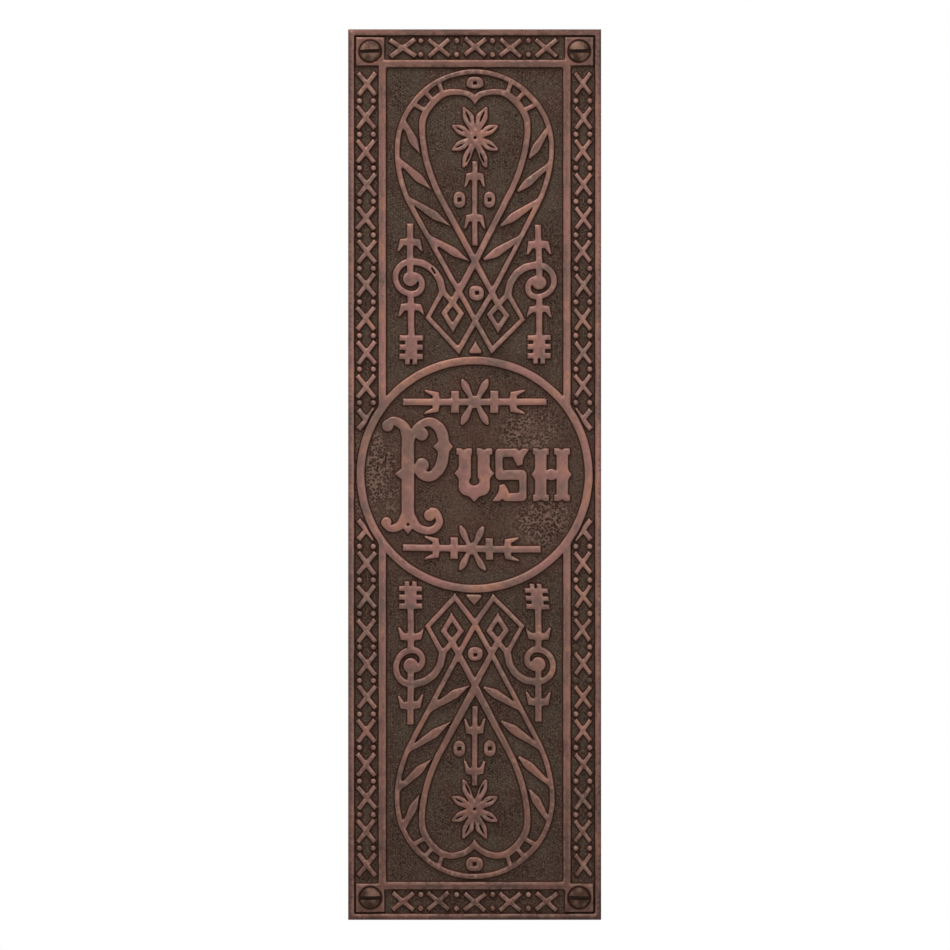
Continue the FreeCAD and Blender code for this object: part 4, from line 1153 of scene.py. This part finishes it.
# the pale dots on the stippled ground are painted highlights; the dark dots are patina in the pits
DOT_HIGHLIGHT, DARK_DOT, PUNCH_DARK = tint(126, 99, 87), tint(38, 23, 16), tint(30, 18, 12)
grain = copper.cloud(0.45, 3, 1.1)
in_field = handled_and_shaded.between(0.97, 1.0)
stippled = copper.painted("stipple").between(0.1, 0.8) * copper.cloud(5, 2, 0.9).between(0.25, 0.6)
dots = copper.dots(0.75)
ground_colour = copper.layered(
    copper.blend(patch.between(0.35, 0.65), EARTH, OLIVE),
    (grain.between(0.45, 0.7) * 0.7, DUST),
    (in_field * 0.25, RED_EARTH),
    (stippled * dots.between(0.45, 0.65) * 0.6, DOT_HIGHLIGHT),
    (stippled * dots.between(0.55, 0.3) * 0.6, DARK_DOT),
    (copper.painted("punch") * 0.9, PUNCH_DARK))
print("tops and ground:", len(copper.tree.nodes), "nodes")

# %% Finish of the plate
# RED_BLACK is the dark of patina and painted shade at the foot of each wall and round the screws
RED_BLACK = tint(50, 24, 14)
DULL_SHINE = 0.12
relief = copper.painted("relief")
grime_and_shade_share = copper.painted("grime_and_shade").between(0.0, 0.8) * fine.between(0.0, 0.45)
colour = copper.blend(relief.between(0.4, 0.8), ground_colour, top_colour)
roughness = 0.62 - 0.16 * relief + 0.16 * (fine - 0.5) + 0.12 * (patch - 0.5)
surface = fine * 0.35 + grain * (1 - relief) * 0.8 + grain * 0.12
dress(plate, copper, {
    "Base Color": copper.blend(grime_and_shade_share * 0.88, colour, RED_BLACK),
    "Metallic": 0.45 + 0.3 * relief,
    "Roughness": roughness,
    "Normal": copper.bump(surface, 0.6, 0.12),
    "Specular IOR Level": DULL_SHINE,
})

# %% [markdown]
# ## Darkened screws
# The screws were blackened with the plate and only the crown of each head is worn, so the slot stays dark
# and the rim darker still, as painted shade of the gap round each head. A blend over the height of the dome
# would do, but the painted slot keeps its edge crisp.

# %% Finish of the screws
HEAD_DARK, HEAD_LIGHT = tint(58, 40, 32), tint(104, 79, 67)
RIM_SHADE_COLOUR, SLOT_DARK = tint(26, 14, 9), tint(40, 24, 17)
screw_metal = Finish(bpy.data.materials.new("darkened_screw_metal"))
slot = screw_metal.painted("slot")
cloud = screw_metal.cloud(2.6, 4)
scratch = screw_metal.cloud(0.5, 3, 0.4)
head_colour = screw_metal.blend(cloud.between(0.38, 0.66), HEAD_DARK, HEAD_LIGHT)
# painted shade on the rim of each head
head_colour = screw_metal.blend(screw_metal.painted("crown").between(0.3, 1.0), RIM_SHADE_COLOUR, head_colour)
dress(screws, screw_metal, {
    "Base Color": screw_metal.blend(slot, head_colour, SLOT_DARK),
    "Metallic": 0.7 - 0.4 * slot,
    "Roughness": 0.42 + 0.2 * cloud,
    "Normal": screw_metal.bump(cloud + scratch * 0.5, 0.5, 0.12),
    "Specular IOR Level": DULL_SHINE,
})

# %% [markdown]
# ## Stage, light and camera
# The photograph is square on, against white, with soft light from above. A pale floor lies below the
# picture, and a broad lamp above the lens picks out the upper edges.

# %% Floor
FLOOR_UP = -0.168
FLOOR_HALF = 0.6
FLOOR_FRONT = -0.7
FLOOR_BACK = 0.17
floor_flat = block(-FLOOR_HALF, FLOOR_HALF, FLOOR_FRONT, FLOOR_BACK)
floor_mesh = bpy.data.meshes.new("pale_floor")
floor_mesh.from_pydata([(x, y, FLOOR_UP) for x, y in floor_flat], [], [(0, 1, 2, 3)])
floor = placed("pale_floor", floor_mesh)
floor_finish = Finish(bpy.data.materials.new("pale_floor_paint"))
floor_cloud = floor_finish.cloud(60, 2)
dress(floor, floor_finish, {
    "Base Color": floor_finish.blend(floor_cloud, tint(226, 226, 226), tint(232, 232, 231)),
    "Roughness": 0.8,
})

# %% [markdown]
# ## A white room
# The background is plain white, but a room as white as that would wash out the relief. The Light Path node
# tells what kind of ray asks: those that end in the lens, a reflection or glass meet white, and those that
# only light the plate meet half of it.

# %% World
SOFT_LIGHT = 0.5
WHITE = (1.0, 1.0, 1.0, 1.0)
world = bpy.data.worlds.new("white_room")
bpy.context.scene.world = world
room = Finish(world)
shown = room.node("ShaderNodeLightPath", {}, {}, "Is Camera Ray")
for kind in ("Is Glossy Ray", "Is Transmission Ray"):
    seen = room.node("ShaderNodeLightPath", {}, {}, kind)
    shown = room.node("ShaderNodeMath", {"operation": "MAXIMUM"}, {0: shown, 1: seen})
soft = room.node("ShaderNodeBackground", {}, {"Color": WHITE, "Strength": SOFT_LIGHT})
white = room.node("ShaderNodeBackground", {}, {"Color": WHITE, "Strength": 1.0})
either = room.node("ShaderNodeMixShader", {}, {0: shown, 1: soft, 2: white})
room.fill(room.tree.nodes["World Output"], {"Surface": either})
print("world:", len(room.tree.nodes), "nodes")


# %% Lamps
def lamp(name, spot, power, width):
    """A broad lamp that faces the middle of the plate."""
    light = bpy.data.lights.new(name, "AREA")
    light.shape = "DISK"
    light.size = width
    light.energy = power
    holder = placed(name, light)
    holder.location = spot
    holder.rotation_euler = (-Vector(spot)).to_track_quat("-Z", "Y").to_euler()
    print(name, "is", round(Vector(spot).length, 2), "m from the plate")


lamp("upper_lamp", (-0.25, -0.55, 0.75), power=6.0, width=0.4)
lamp("front_lamp", (0.3, -1.2, 0.2), power=3.0, width=0.8)

# %% Camera
PICTURE_WIDTH = 0.286
LENS = 135.0
SENSOR = 36.0
CAMERA_ACROSS = 0.000105
CAMERA_UP = -0.00012
camera_data = bpy.data.cameras.new("square_on")
camera_data.lens = LENS
camera_data.sensor_width = SENSOR
camera = placed("square_on", camera_data)
camera.location = (CAMERA_ACROSS, face * MM - PICTURE_WIDTH * LENS / SENSOR, CAMERA_UP)
camera.rotation_euler = (math.pi / 2, 0, 0)
bpy.context.scene.camera = camera
bpy.context.scene.view_settings.view_transform = "Standard"
print("camera", round(-camera.location.y, 3), "m in front of the plate")

# %% Bring the scene up to date
bpy.context.view_layer.update()
